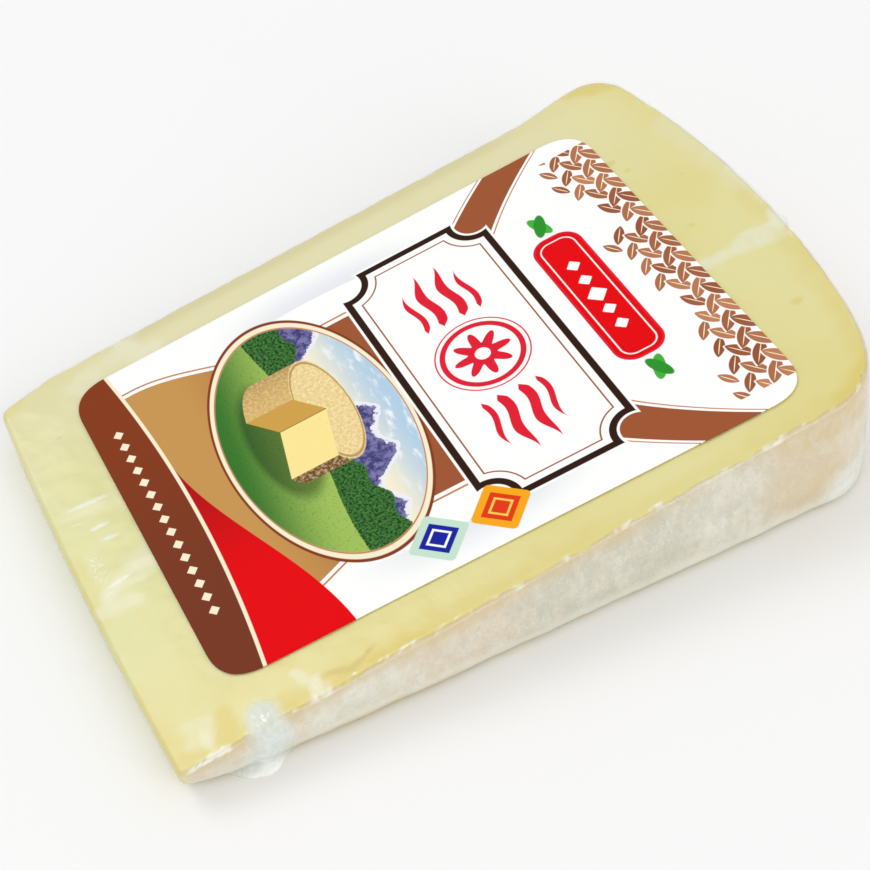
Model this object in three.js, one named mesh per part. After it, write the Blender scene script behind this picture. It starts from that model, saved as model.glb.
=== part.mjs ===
// A wedge of toma cheese, shrink-wrapped in clear film and lying on one of its two cut faces,
// with a paper label on the cut face that looks up.
//
// Lengths are millimetres and +Z is up. The wedge is drawn in its own frame: x runs from the
// thin tip, which was the wheel's middle, to the rind at the heel, y runs across the wheel's
// height from one rind face to the other, and z is the height over the surface it lies on.
// The last group moves that frame so that the origin is the middle of the footprint.

import * as THREE from 'three';
import { LoftGeometry } from 'three/addons/geometries/LoftGeometry.js';
import { mergeVertices } from 'three/addons/utils/BufferGeometryUtils.js';

// ---------------------------------------------------------------- driving dimensions

const WEDGE = {
  length: 145.35,       // tip to the middle of the bulging heel
  nearSide: -50.6,      // rind face turned to the viewer
  farSide: 51.8,        // rind face on the other side
  tipThickness: 8.42,   // height of the tip's upper edge
  cutAngle: THREE.MathUtils.degToRad(7.34),   // slope of the upper cut face
  heelRadius: 195,      // the wheel's side wall is a shallow barrel
  heelMiddle: 4.5,      // y where the heel bulges most
};

const EDGE = {
  baseRound: 1.1,       // soft lower edge, where the film is drawn round the paste
  topRound: 1.0,        // crisper upper edge of the cut
  heelLean: 0.15,       // how far the foot of the heel stands in
  tipLean: 1.2,         // the same at the tip
  sideLean: 0.15,       // the same on the sides, at the heel
  sideDraw: 0.9,        // how much further the sides draw in towards the tip
  sideDrawReach: 110,   // distance from the tip at which that has gone
  cornerDraw: 3.2,      // and further again at the tip's corners
  cornerDrawReach: 9,   // length over which that fades
  wallBulge: 0.45,      // swell of the walls at mid height
};

// Corners of the outline seen from above: how far the round stretch reaches along each edge.
const CORNER = {
  nearHeelAlongSide: 11,
  nearHeelAlongHeel: 16.5,
  farHeelSwell: 2.2,    // the far side swells out just before the heel
  farHeelAlongSide: 6.5,
  farHeelAlongHeel: 6.5,
  swellEnd: 27.2,       // where the swell has run out, by its distance from the heel
  swellHold: 12.8,      // the two pulls that shape how it runs out
  swellDrop: 15.2,
  farTipCutX: 12,       // the far tip corner is cut back on a slant
  farTipCutStart: 1.9,  // the far side's small step where the slant starts
  farTipCutY: 3.8,
  farTipRound: 2,
  farTipRoundY: 2.8,
  nearTipRound: 1.3,
  tipBow: 1.0,          // the tip's edge bulges a little
};

// Film drawn out flat on the ground beside the near tip corner, and the pleat above it.
const EAR = { middle: 13.4, halfWidth: 7.2, reach: 3.1, thickness: 0.9 };
const PLEAT = { middle: 15.5, halfWidth: 3.4, height: 0.9 };

// The film's sealed seam, which crosses the heel, and the step beside it.
const SEAM = { middle: -5.6, step: -8.4, halfWidth: 1.7, height: 0.6, depth: 0.5 };

// Slow unevenness of the rind under the film: amplitude, and waves per millimetre in radians.
const RIND = { depth: 0.22, along: 0.31, across: 0.4, up: 0.52, slow: 0.13, phase: 2 };

const LABEL = {
  length: 113.9,        // along the slope
  tipWidth: 80.2,       // the label narrows a little towards the tip
  heelWidth: 85.7,
  skew: -2.15,          // the heel end's middle lies this far over from the tip end's
  cornerReach: 8,       // how far each round corner reaches along its two edges
  cornerSteps: 8,
  thickness: 0.3,
  gap: 0.3,
  middleX: 69.7,
  middleY: 0.13,
};

// Stations round the outline, by their spacing on each kind of edge.
const SPACING = { side: 3.2, heel: 2.2, corner: 2.2, tip: 3.6 };
const ROUND_STEPS = 3;
const WALL_STEPS = 4;
const SHORTEST = 1e-3;  // curves shorter than this are joints of the path, not edges
const SAME_POINT = 1e-4;

// How squarely an inset follows the corners of the outline.
const SQUARENESS = 5;

// ---------------------------------------------------------------- outline

const topHeight = (x) => WEDGE.tipThickness + x * Math.tan(WEDGE.cutAngle);

// Where the heel's arc lies at a given y.
function heelX(y) {
  const across = y - WEDGE.heelMiddle;
  return WEDGE.length - WEDGE.heelRadius + Math.sqrt(WEDGE.heelRadius ** 2 - across ** 2);
}

// The outline as a closed path, anticlockwise from above, starting on the near side.
function outlinePath() {
  const { nearSide, farSide, length, heelRadius, heelMiddle } = WEDGE;
  const farSwollen = farSide + CORNER.farHeelSwell;
  const nearHeelY = nearSide + CORNER.nearHeelAlongHeel;
  const farHeelY = farSwollen - CORNER.farHeelAlongHeel;
  const nearCornerX = heelX(nearSide);
  const farCornerX = heelX(farSwollen);
  const farTipY = farSide - CORNER.farTipCutY;
  const heelAngle = (y) => Math.asin((y - heelMiddle) / heelRadius);

  const path = new THREE.Path();
  path.moveTo(CORNER.nearTipRound, nearSide);
  path.lineTo(nearCornerX - CORNER.nearHeelAlongSide, nearSide);
  path.quadraticCurveTo(nearCornerX, nearSide, heelX(nearHeelY), nearHeelY);
  path.absarc(length - heelRadius, heelMiddle, heelRadius, heelAngle(nearHeelY), heelAngle(farHeelY));
  path.quadraticCurveTo(farCornerX, farSwollen, farCornerX - CORNER.farHeelAlongSide, farSwollen);
  path.bezierCurveTo(
    farCornerX - CORNER.swellHold, farSwollen,
    farCornerX - CORNER.swellDrop, farSide,
    farCornerX - CORNER.swellEnd, farSide,
  );
  path.lineTo(CORNER.farTipCutX, farSide - CORNER.farTipCutStart);
  path.lineTo(CORNER.farTipRound, farTipY);
  path.quadraticCurveTo(0, farTipY, 0, farTipY - CORNER.farTipRoundY);
  const tipMiddle = (farTipY - CORNER.farTipRoundY + nearSide + CORNER.nearTipRound) / 2;
  path.quadraticCurveTo(-2 * CORNER.tipBow, tipMiddle, 0, nearSide + CORNER.nearTipRound);
  path.quadraticCurveTo(0, nearSide, CORNER.nearTipRound, nearSide);
  return path;
}

// How far in the foot of a side stands at a distance from the tip.
function sideLean(x) {
  const drawn = EDGE.sideDraw * Math.max(0, 1 - x / EDGE.sideDrawReach);
  return EDGE.sideLean + drawn + EDGE.cornerDraw * Math.exp(-Math.max(0, x) / EDGE.cornerDrawReach);
}

// Stations along the outline. Each one knows its place, the way out, the height of the upper
// face over it, and how far in the foot of the wall stands, on the ends and on the sides.
function outlineStations() {
  const stations = [];
  for (const curve of outlinePath().curves) {
    if (curve.getLength() < SHORTEST) continue;
    const isTip = curve.isQuadraticBezierCurve && curve.v1.x < 0;
    const isHeel = curve.isEllipseCurve;
    const spacing = isTip ? SPACING.tip : isHeel ? SPACING.heel
      : curve.isLineCurve ? SPACING.side : SPACING.corner;
    const steps = Math.max(1, Math.round(curve.getLength() / spacing));
    for (let i = 0; i < steps; i++) {
      const point = curve.getPointAt(i / steps);
      const along = curve.getTangentAt(i / steps);
      stations.push({
        x: point.x,
        y: point.y,
        outward: new THREE.Vector2(along.y, -along.x),
        height: topHeight(point.x),
        endLean: point.x < WEDGE.length / 2 ? EDGE.tipLean : EDGE.heelLean,
        sideLean: sideLean(point.x),
      });
    }
  }
  return stations;
}

// ---------------------------------------------------------------- relief

const hump = (offset, halfWidth) => {
  const t = Math.min(1, Math.abs(offset) / halfWidth);
  return (1 - t * t) ** 2;
};

// What the film and the rind add to the wall at a station and a height, outwards.
function wallRelief(station, z) {
  const rise = z / station.height;
  const onNear = Math.max(0, -station.outward.y) ** 2;
  const onFar = Math.max(0, station.outward.y) ** 2;
  const onHeel = Math.max(0, station.outward.x) ** 2;
  const along = RIND.along * station.x + RIND.across * station.y;

  const rind = RIND.depth * (onNear + onFar + onHeel)
    * (Math.sin(along + RIND.up * z) + Math.sin(RIND.slow * station.x - RIND.up * z + RIND.phase))
    * Math.sin(Math.PI * rise);
  const bulge = EDGE.wallBulge * Math.sin(Math.PI * rise);
  const pleat = onNear * PLEAT.height * hump(station.x - PLEAT.middle, PLEAT.halfWidth);
  const seam = onHeel * (SEAM.height * hump(station.y - SEAM.middle, SEAM.halfWidth)
    - SEAM.depth * hump(station.y - SEAM.step, SEAM.halfWidth));
  return rind + bulge + pleat + seam;
}

// How far the ear of film reaches out at ground level.
function earReach(station) {
  const onNear = Math.max(0, -station.outward.y) ** 2;
  return onNear * EAR.reach * hump(station.x - EAR.middle, EAR.halfWidth);
}

// ---------------------------------------------------------------- pack

// A station moved in by an inset and by what its wall leans in at a height. Both act
// at right angles to each edge, and on both edges at a corner, so that neighbouring stations
// never cross.
function place(station, inset, z) {
  const { length, nearSide, farSide } = WEDGE;
  const acrossX = (2 * station.x - length) / length;
  const acrossY = (2 * station.y - nearSide - farSide) / (farSide - nearSide);
  const drawn = 1 - z / station.height;
  const x = station.x - (inset + drawn * station.endLean) * acrossX ** SQUARENESS;
  const y = station.y - (inset + drawn * station.sideLean) * acrossY ** SQUARENESS;
  return new THREE.Vector3(x, y, z);
}

function sectionFrom(stations, rule) {
  return stations.map((station) => {
    const { inset, z } = rule(station);
    return place(station, inset, z);
  });
}

// The middle of the outline, at a height: both flat faces are fans about it.
function middleRing(stations, z) {
  const x = WEDGE.length / 2;
  const y = (WEDGE.nearSide + WEDGE.farSide) / 2;
  return stations.map(() => new THREE.Vector3(x, y, z));
}

// Rings from the middle of the flat base out to its rim, round the lower edge, up the wall,
// round the upper edge, and back to the middle of the sloping face.
function packSections() {
  const stations = outlineStations();
  const { baseRound, topRound } = EDGE;
  const sections = [middleRing(stations, 0)];

  for (let i = 0; i <= ROUND_STEPS; i++) {
    const angle = (Math.PI / 2) * (i / ROUND_STEPS);
    sections.push(sectionFrom(stations, (s) => {
      const z = baseRound * (1 - Math.cos(angle));
      const ear = z < EAR.thickness ? earReach(s) : 0;
      return { z, inset: baseRound * (1 - Math.sin(angle)) - wallRelief(s, z) - ear };
    }));
  }
  for (let i = 1; i <= WALL_STEPS; i++) {
    sections.push(sectionFrom(stations, (s) => {
      const z = THREE.MathUtils.lerp(baseRound, s.height - topRound, i / WALL_STEPS);
      return { z, inset: -wallRelief(s, z) };
    }));
  }
  for (let i = 1; i <= ROUND_STEPS; i++) {
    const angle = (Math.PI / 2) * (i / ROUND_STEPS);
    const below = topRound * (1 - Math.sin(angle));
    sections.push(stations.map((s) => {
      const z = s.height - below;
      const point = place(s, topRound * (1 - Math.cos(angle)) - wallRelief(s, z), z);
      return point.setZ(topHeight(point.x) - below);
    }));
  }
  sections.push(middleRing(stations, topHeight(WEDGE.length / 2)));
  return sections;
}

// One closed body from a geometry whose faces share corners but not vertices. Faces that have
// shrunk to a line are dropped.
function welded(geometry) {
  const bare = new THREE.BufferGeometry().copy(geometry);
  bare.deleteAttribute('normal');
  bare.deleteAttribute('uv');
  const body = mergeVertices(bare, SAME_POINT);
  const corners = body.getIndex().array;
  const kept = [];
  for (let i = 0; i < corners.length; i += 3) {
    const [a, b, c] = corners.slice(i, i + 3);
    if (a !== b && b !== c && c !== a) kept.push(a, b, c);
  }
  body.setIndex(kept);
  body.computeVertexNormals();
  return body;
}

function wrappedWedge() {
  const loft = new LoftGeometry(packSections());
  const material = new THREE.MeshStandardMaterial({ color: 0xe3df9f, roughness: 0.35, metalness: 0 });
  const mesh = new THREE.Mesh(welded(loft), material);
  mesh.name = 'wrapped_wedge';
  return mesh;
}

// ---------------------------------------------------------------- label

// A sheet between two parallel ends of different widths, with round corners.
function taperedSheet() {
  const reach = LABEL.length / 2;
  const end = (x, width, middle) => [
    new THREE.Vector2(x, middle - width / 2),
    new THREE.Vector2(x, middle + width / 2),
  ];
  const [nearTip, farTip] = end(-reach, LABEL.tipWidth, -LABEL.skew / 2);
  const [nearHeel, farHeel] = end(reach, LABEL.heelWidth, LABEL.skew / 2);
  const corners = [nearTip, nearHeel, farHeel, farTip];

  const towards = (from, to) => to.clone().sub(from).setLength(LABEL.cornerReach).add(from);
  const shape = new THREE.Shape();
  corners.forEach((corner, i) => {
    const before = towards(corner, corners[(i + 3) % 4]);
    const after = towards(corner, corners[(i + 1) % 4]);
    if (i === 0) shape.moveTo(before.x, before.y);
    else shape.lineTo(before.x, before.y);
    shape.quadraticCurveTo(corner.x, corner.y, after.x, after.y);
  });
  return shape;
}

// The label lies just over the upper cut face, parallel to it.
function label() {
  const sheet = new THREE.ExtrudeGeometry(taperedSheet(), {
    depth: LABEL.thickness, bevelEnabled: false, curveSegments: LABEL.cornerSteps,
  });
  const material = new THREE.MeshStandardMaterial({ color: 0xfdfefb, roughness: 0.3, metalness: 0 });
  const mesh = new THREE.Mesh(welded(sheet), material);
  mesh.name = 'label';
  mesh.position.z = LABEL.gap;

  const onSlope = new THREE.Group();
  onSlope.add(mesh);
  onSlope.rotation.y = -WEDGE.cutAngle;
  onSlope.position.set(LABEL.middleX, LABEL.middleY, topHeight(LABEL.middleX));
  return onSlope;
}

// ---------------------------------------------------------------- assembly

const wedge = wrappedWedge();
const footprint = new THREE.Box3().setFromObject(wedge);

const pack = new THREE.Group();
pack.add(wedge, label());
pack.position.set(
  -(footprint.min.x + footprint.max.x) / 2,
  -(footprint.min.y + footprint.max.y) / 2,
  0,
);

const toma = new THREE.Group();
toma.add(pack);

export default toma;
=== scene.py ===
"""Looks for a wedge of toma cheese in clear shrink film, with a printed paper label.

Every size below is in millimetres, in the wedge's own frame: x runs from the thin tip to the
rind at the heel, y across the wheel's height from the near rind face to the far one, and z up
from the surface the wedge lies on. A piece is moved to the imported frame, in metres, when its
mesh is made.
"""

import logging
import math
from collections.abc import Sequence
from dataclasses import dataclass, field
from enum import Enum
from typing import Any

import bpy
import numpy as np
from mathutils import Matrix, Vector

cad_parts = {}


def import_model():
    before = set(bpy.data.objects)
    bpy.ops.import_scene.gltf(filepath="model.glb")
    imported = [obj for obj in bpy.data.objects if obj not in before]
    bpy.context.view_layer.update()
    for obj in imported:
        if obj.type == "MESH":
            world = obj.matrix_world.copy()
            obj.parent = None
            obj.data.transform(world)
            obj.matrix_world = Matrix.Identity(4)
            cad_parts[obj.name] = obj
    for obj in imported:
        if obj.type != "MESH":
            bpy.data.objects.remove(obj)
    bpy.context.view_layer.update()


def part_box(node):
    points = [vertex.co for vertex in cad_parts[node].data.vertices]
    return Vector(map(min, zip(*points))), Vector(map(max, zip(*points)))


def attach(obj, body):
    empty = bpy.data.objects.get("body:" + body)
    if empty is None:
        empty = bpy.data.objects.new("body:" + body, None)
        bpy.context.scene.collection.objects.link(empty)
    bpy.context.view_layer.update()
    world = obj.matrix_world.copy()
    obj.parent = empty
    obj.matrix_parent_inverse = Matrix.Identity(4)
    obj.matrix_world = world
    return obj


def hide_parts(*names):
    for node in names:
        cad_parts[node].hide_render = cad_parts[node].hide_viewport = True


LOG = logging.getLogger("toma_wedge")
MM = 0.001
TURN = 2 * math.pi
Array = np.ndarray
Pair = tuple[float, float]
Triple = tuple[float, float, float]
Point = Triple
Colour = tuple[float, float, float, float]
Tones = tuple[Colour, Colour]
Waves = tuple[tuple[float, float, int], ...]
Settings = dict[str, Any] | None
Sockets = dict[int | str, Any] | None


# ------------------------------------------------------------------ curves and noise


def line(start: Sequence[float], end: Sequence[float], count: int = 40) -> Array:
    """Points from start to end: start + t (end - start).

    Args:
        start: First point.
        end: Last point.
        count: Number of points.

    Returns:
        Points as rows.
    """
    t = np.linspace(0, 1, count)[:, None]
    return (1 - t) * np.array(start, float) + t * np.array(end, float)


def bezier(*knots: Sequence[float], count: int = 60) -> Array:
    """Bezier curve: knots blended pairwise, again and again, until one point is left.

    Args:
        *knots: Control points, the first and last of which the curve meets.
        count: Number of points.

    Returns:
        Points as rows.
    """
    t = np.linspace(0, 1, count)[:, None]
    level = [np.broadcast_to(np.array(k, float), (count, len(k))) for k in knots]
    while len(level) > 1:
        level = [(1 - t) * a + t * b for a, b in zip(level, level[1:])]
    return level[0]


def ripples(points: Array, size: float, seed: int, waves: int = 24) -> Array:
    """Smooth unevenness about 0, mostly within -1 to 1.

    It is the sum of plane sine waves with random directions, phases and lengths about size.

    Args:
        points: Places, one per row, in millimetres.
        size: Typical wavelength in millimetres.
        seed: Picks the waves.
        waves: Number of waves.

    Returns:
        One value per place.
    """
    dice = np.random.default_rng(seed)
    ways = dice.normal(size=(waves, points.shape[-1]))
    ways /= np.linalg.norm(ways, axis=1, keepdims=True)
    lengths = size * dice.uniform(0.7, 1.5, waves)
    phases = dice.uniform(0, TURN, waves)
    turns = points @ (TURN * ways / lengths[:, None]).T + phases
    return np.sin(turns).sum(-1) * (0.75 / math.sqrt(waves))


def uneven(points: Array, waves: Waves) -> Array:
    """The sum, over amounts, sizes and seeds, of amount times ripples of that size and seed."""
    return sum(amount * ripples(points, size, seed) for amount, size, seed in waves)


def hump(offset: Array, half_width: float) -> Array:
    """1 at the middle, falling to 0 at half_width: (1 - (offset / half_width)^2)^2."""
    t = np.clip(np.abs(offset) / half_width, 0, 1)
    return (1 - t * t) ** 2


def ease(value: Array, low: float, high: float) -> Array:
    """0 at low and 1 at high, level at both: 3 t^2 - 2 t^3."""
    t = np.clip((value - low) / (high - low), 0, 1)
    return t * t * (3 - 2 * t)


def from_path(points: Array, path: Sequence[Sequence[float]]) -> tuple[Array, Array]:
    """Distance from each point to a line of straight pieces.

    On each piece the nearest place is the point's shadow on it, kept between its ends.

    Args:
        points: Places, one per row.
        path: The line's corners.

    Returns:
        The distance, and how far along the line its nearest place lies, from 0 to 1.
    """
    nearest_yet = np.full(len(points), np.inf)
    along = np.zeros(len(points))
    corners = np.array(path, float)
    for i, (start, way) in enumerate(zip(corners, np.diff(corners, axis=0))):
        t = np.clip((points - start) @ way / (way @ way), 0, 1)
        away = np.linalg.norm(points - start - t[:, None] * way, axis=1)
        closer = away < nearest_yet
        nearest_yet = np.where(closer, away, nearest_yet)
        along = np.where(closer, (i + t) / (len(corners) - 1), along)
    return nearest_yet, along


@dataclass(frozen=True)
class Stroke:
    """A soft, ragged patch along a line in the wedge's frame."""

    path: tuple[Point, ...]
    radii: Pair
    share: float
    warm: float = 0.0
    soft: float = 1.1
    ragged: float = 0.22

    def cover(self, points: Array, seed: int) -> Array:
        """How much of each point it covers: share inside, fading to 0 over its soft edge.

        Args:
            points: Places, one per row.
            seed: Picks the ripples that push its edge.

        Returns:
            Cover from 0 to share.
        """
        away, along = from_path(points, self.path)
        radius = self.radii[0] + (self.radii[1] - self.radii[0]) * along
        torn = away / radius + self.ragged * ripples(points, 1.6 * max(self.radii), seed, 16)
        return self.share * (1 - ease(torn, 1 - self.soft / 2, 1 + self.soft / 2))


# ------------------------------------------------------------------ the wedge's form


@dataclass(frozen=True)
class WedgeForm:
    """Outline, slope and walls of the pack, in millimetres."""

    length: float = 145.35
    near: float = -50.6
    far: float = 51.8
    tip_height: float = 8.42
    cut_angle: float = math.radians(7.34)
    heel_radius: float = 195.0
    heel_middle: float = 4.5
    base_round: float = 1.1
    top_round: float = 1.0
    heel_lean: float = 0.15
    tip_lean: float = 1.2
    side_lean: float = 0.15
    side_draw: float = 0.9
    side_draw_reach: float = 110.0
    corner_draw: float = 3.2
    corner_draw_reach: float = 9.0
    wall_bulge: float = 0.45
    squareness: int = 5
    near_heel: Pair = (11.0, 16.5)
    far_heel: Pair = (6.5, 6.5)
    swell: float = 2.2
    swell_pulls: Triple = (12.8, 15.2, 27.2)
    far_tip_cut: Triple = (12.0, 1.9, 3.8)
    far_tip_round: Pair = (2.0, 2.8)
    near_tip_round: float = 1.3
    tip_bow: float = 1.0
    along: int = 200
    across: int = 144

    def top(self, x: Array) -> Array:
        """Height of the sloping cut face over x: tip height + x tan(cut angle)."""
        return self.tip_height + x * math.tan(self.cut_angle)

    def heel_x(self, y: float | Array) -> float | Array:
        """Where the heel's arc lies at y, on a circle about the wheel's axis."""
        across = y - self.heel_middle
        return self.length - self.heel_radius + np.sqrt(self.heel_radius**2 - across**2)

    def heel_arc(self, start: float, end: float) -> Array:
        """The heel from y = start to y = end: x on the circle for each y."""
        y = np.linspace(start, end, 120)
        return np.stack([self.heel_x(y), y], -1)

    def outline(self) -> Array:
        """The pack's outline from above, anticlockwise from the middle of the near tip corner.

        Straight edges and the heel's arc are joined by parabolas. Each of the four sides is
        stepped evenly by length between the middles of its corners.

        Returns:
            2 (along + across) points as rows.
        """
        near, swollen = self.near, self.far + self.swell
        near_x, far_x = self.heel_x(near), self.heel_x(swollen)
        near_y, far_y = near + self.near_heel[1], swollen - self.far_heel[1]
        hold, drop, end = (far_x - pull for pull in self.swell_pulls)
        cut_x, cut_start, cut_y = self.far_tip_cut
        tip_far = self.far - cut_y
        tip_y = tip_far - self.far_tip_round[1]
        tip_near = near + self.near_tip_round
        near_turn, far_turn = near_x - self.near_heel[0], far_x - self.far_heel[0]
        tip_x, bow = self.far_tip_round[0], -2 * self.tip_bow
        tip_middle = (tip_y + tip_near) / 2
        parts = [
            line((self.near_tip_round, near), (near_turn, near)),
            bezier((near_turn, near), (near_x, near), (self.heel_x(near_y), near_y)),
            self.heel_arc(near_y, far_y),
            bezier((self.heel_x(far_y), far_y), (far_x, swollen), (far_turn, swollen)),
            bezier((far_turn, swollen), (hold, swollen), (drop, self.far), (end, self.far)),
            line((end, self.far), (cut_x, self.far - cut_start)),
            line((cut_x, self.far - cut_start), (tip_x, tip_far)),
            bezier((tip_x, tip_far), (0, tip_far), (0, tip_y)),
            bezier((0, tip_y), (bow, tip_middle), (0, tip_near)),
            bezier((0, tip_near), (0, near), (self.near_tip_round, near)),
        ]
        starts = np.cumsum([0] + [len(part) - 1 for part in parts])
        path = np.concatenate([part[:-1] for part in parts])
        first, *turns = (starts[i] + len(parts[i]) // 2 for i in (9, 1, 3, 7))
        path = np.roll(path, -first, axis=0)
        turns = [(turn - first) % len(path) for turn in turns]
        return even_sides(path, turns, (self.along, self.across))

    def stand(self, ring: Array, inset: Array, z: Array) -> Array:
        """Moves the outline in by an inset and by the lean of its wall at a height.

        The move acts along x near the ends and along y near the sides, by the fifth power of
        how far out a point lies, so that both act at a corner.

        Args:
            ring: The outline, one point per row.
            inset: Distance inwards for each row of rings and each point.
            z: Height, in the same shape.

        Returns:
            Points of the rings, with x, y and z last.
        """
        x, y = ring.T
        out_x = ((2 * x - self.length) / self.length) ** self.squareness
        out_y = ((2 * y - self.near - self.far) / (self.far - self.near)) ** self.squareness
        drawn = 1 - z / self.top(x)
        end_lean = np.where(x < self.length / 2, self.tip_lean, self.heel_lean)
        draw = self.side_draw * np.clip(1 - x / self.side_draw_reach, 0, None)
        corner = self.corner_draw * np.exp(-np.clip(x, 0, None) / self.corner_draw_reach)
        side_lean = self.side_lean + draw + corner
        placed_x = x - (inset + drawn * end_lean) * out_x
        placed_y = y - (inset + drawn * side_lean) * out_y
        return np.stack([placed_x, placed_y, z], -1)


def even_sides(path: Array, corners: Sequence[int], steps: tuple[int, int]) -> Array:
    """Walks a closed path by length, with the same number of steps on opposite sides.

    Args:
        path: Closed path, which starts at its first corner.
        corners: Where the other three corners lie in it.
        steps: Steps on the first and third side, and on the second and fourth.

    Returns:
        2 (steps[0] + steps[1]) points as rows.
    """
    closed = np.vstack([path, path[:1]])
    run = np.concatenate([[0], np.cumsum(np.linalg.norm(np.diff(closed, axis=0), axis=1))])
    marks = [0.0, *(run[c] for c in corners), run[-1]]
    counts = (steps[0], steps[1], steps[0], steps[1])
    walk = [np.linspace(a, b, n, endpoint=False) for a, b, n in zip(marks, marks[1:], counts)]
    at = np.concatenate(walk)
    return np.stack([np.interp(at, run, closed[:, k]) for k in (0, 1)], -1)


def outward(ring: Array) -> Array:
    """The way out at each point of an anticlockwise outline: its tangent, turned right."""
    tangent = np.roll(ring, -1, axis=0) - np.roll(ring, 1, axis=0)
    return tangent[:, ::-1] * (1, -1) / np.linalg.norm(tangent, axis=1, keepdims=True)


# ------------------------------------------------------------------ closed meshes


@dataclass
class Block:
    """A closed mesh: stacked rings whose first and last are filled in.

    points are millimetres in the wedge's frame. rings, base and top hold the numbers of the
    points on the walls and on the two filled faces, each laid out as a grid.
    """

    points: Array
    faces: Array
    rings: Array
    base: Array
    top: Array

    @classmethod
    def from_rings(cls, rings: Array, along: int, across: int) -> "Block":
        """Fills the first and last ring with a Coons patch each, and joins ring to ring.

        A Coons patch is the blend of one pair of opposite edges, plus the blend of the other
        pair, less the blend of the four corners.

        Args:
            rings: Points with axes ring, place round the ring, and x, y, z.
            along: Steps on the first and third side of a ring.
            across: Steps on the second and fourth side.

        Returns:
            The closed block, with faces outwards.
        """
        layers, count, _ = rings.shape
        ring_numbers = np.arange(layers * count).reshape(layers, count)
        points = [rings.reshape(-1, 3)]
        grids = []
        used = layers * count
        a, c = np.arange(along + 1), np.arange(across + 1)
        for ring, numbers in ((rings[0], ring_numbers[0]), (rings[-1], ring_numbers[-1])):
            near, far = a, 2 * along + across - a
            heel, tip = along + c, (count - c) % count
            grid = np.zeros((along + 1, across + 1), int)
            inner = (along - 1) * (across - 1)
            grid[1:-1, 1:-1] = used + np.arange(inner).reshape(along - 1, across - 1)
            grid[:, 0], grid[:, -1] = numbers[near], numbers[far]
            grid[0, :], grid[-1, :] = numbers[tip], numbers[heel]
            s, t = (a / along)[:, None, None], (c / across)[None, :, None]
            sides = (1 - t) * ring[near][:, None] + t * ring[far][:, None]
            ends = (1 - s) * ring[tip][None] + s * ring[heel][None]
            corners = (1 - s) * ((1 - t) * ring[0] + t * ring[tip[-1]])
            corners = corners + s * ((1 - t) * ring[along] + t * ring[along + across])
            points.append((sides + ends - corners)[1:-1, 1:-1].reshape(-1, 3))
            grids.append(grid)
            used += inner
        base, top = grids
        after = np.roll(ring_numbers, -1, axis=1)
        wall = np.stack([ring_numbers[:-1], after[:-1], after[1:], ring_numbers[1:]], -1)
        cap = [top[:-1, :-1], top[1:, :-1], top[1:, 1:], top[:-1, 1:]]
        foot = [base[:-1, :-1], base[:-1, 1:], base[1:, 1:], base[1:, :-1]]
        faces = np.concatenate([np.stack(q, -1).reshape(-1, 4) for q in (cap, foot)])
        faces = np.concatenate([wall.reshape(-1, 4), faces])
        return cls(np.concatenate(points), faces, ring_numbers, base, top)

    def mesh(
        self, name: str, shift: Array, marks: dict[str, Array], uv: Array | None = None
    ) -> bpy.types.Object:
        """Makes the block's object, at the origin, with its place in its mesh.

        Args:
            name: The object's name.
            shift: From the wedge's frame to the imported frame, in millimetres.
            marks: Values per point that finishes read, by name.
            uv: Layout for the print, per point, if the piece has one.

        Returns:
            The object, in the scene.
        """
        data = bpy.data.meshes.new(name)
        places = (self.points + shift) * MM
        data.from_pydata(places.tolist(), [], self.faces.tolist())
        data.polygons.foreach_set("use_smooth", np.ones(len(data.polygons), bool))
        for mark, values in marks.items():
            layer = data.attributes.new(mark, "FLOAT", "POINT")
            layer.data.foreach_set("value", np.asarray(values, np.float32))
        if uv is not None:
            corners = np.empty(len(data.loops), np.int32)
            data.loops.foreach_get("vertex_index", corners)
            layer = data.uv_layers.new(name="OFBake")
            layer.data.foreach_set("uv", uv[corners].astype(np.float32).ravel())
        data.update()
        piece = bpy.data.objects.new(name, data)
        bpy.context.collection.objects.link(piece)
        return piece


class Skin(Enum):
    """Which surface of the pack a shell is."""

    CHEESE = "cheese"
    FILM = "film"


@dataclass(frozen=True)
class Spot:
    """A small round dent or rise of the upper cut face."""

    x: float
    y: float
    radius: float
    rise: float


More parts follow.
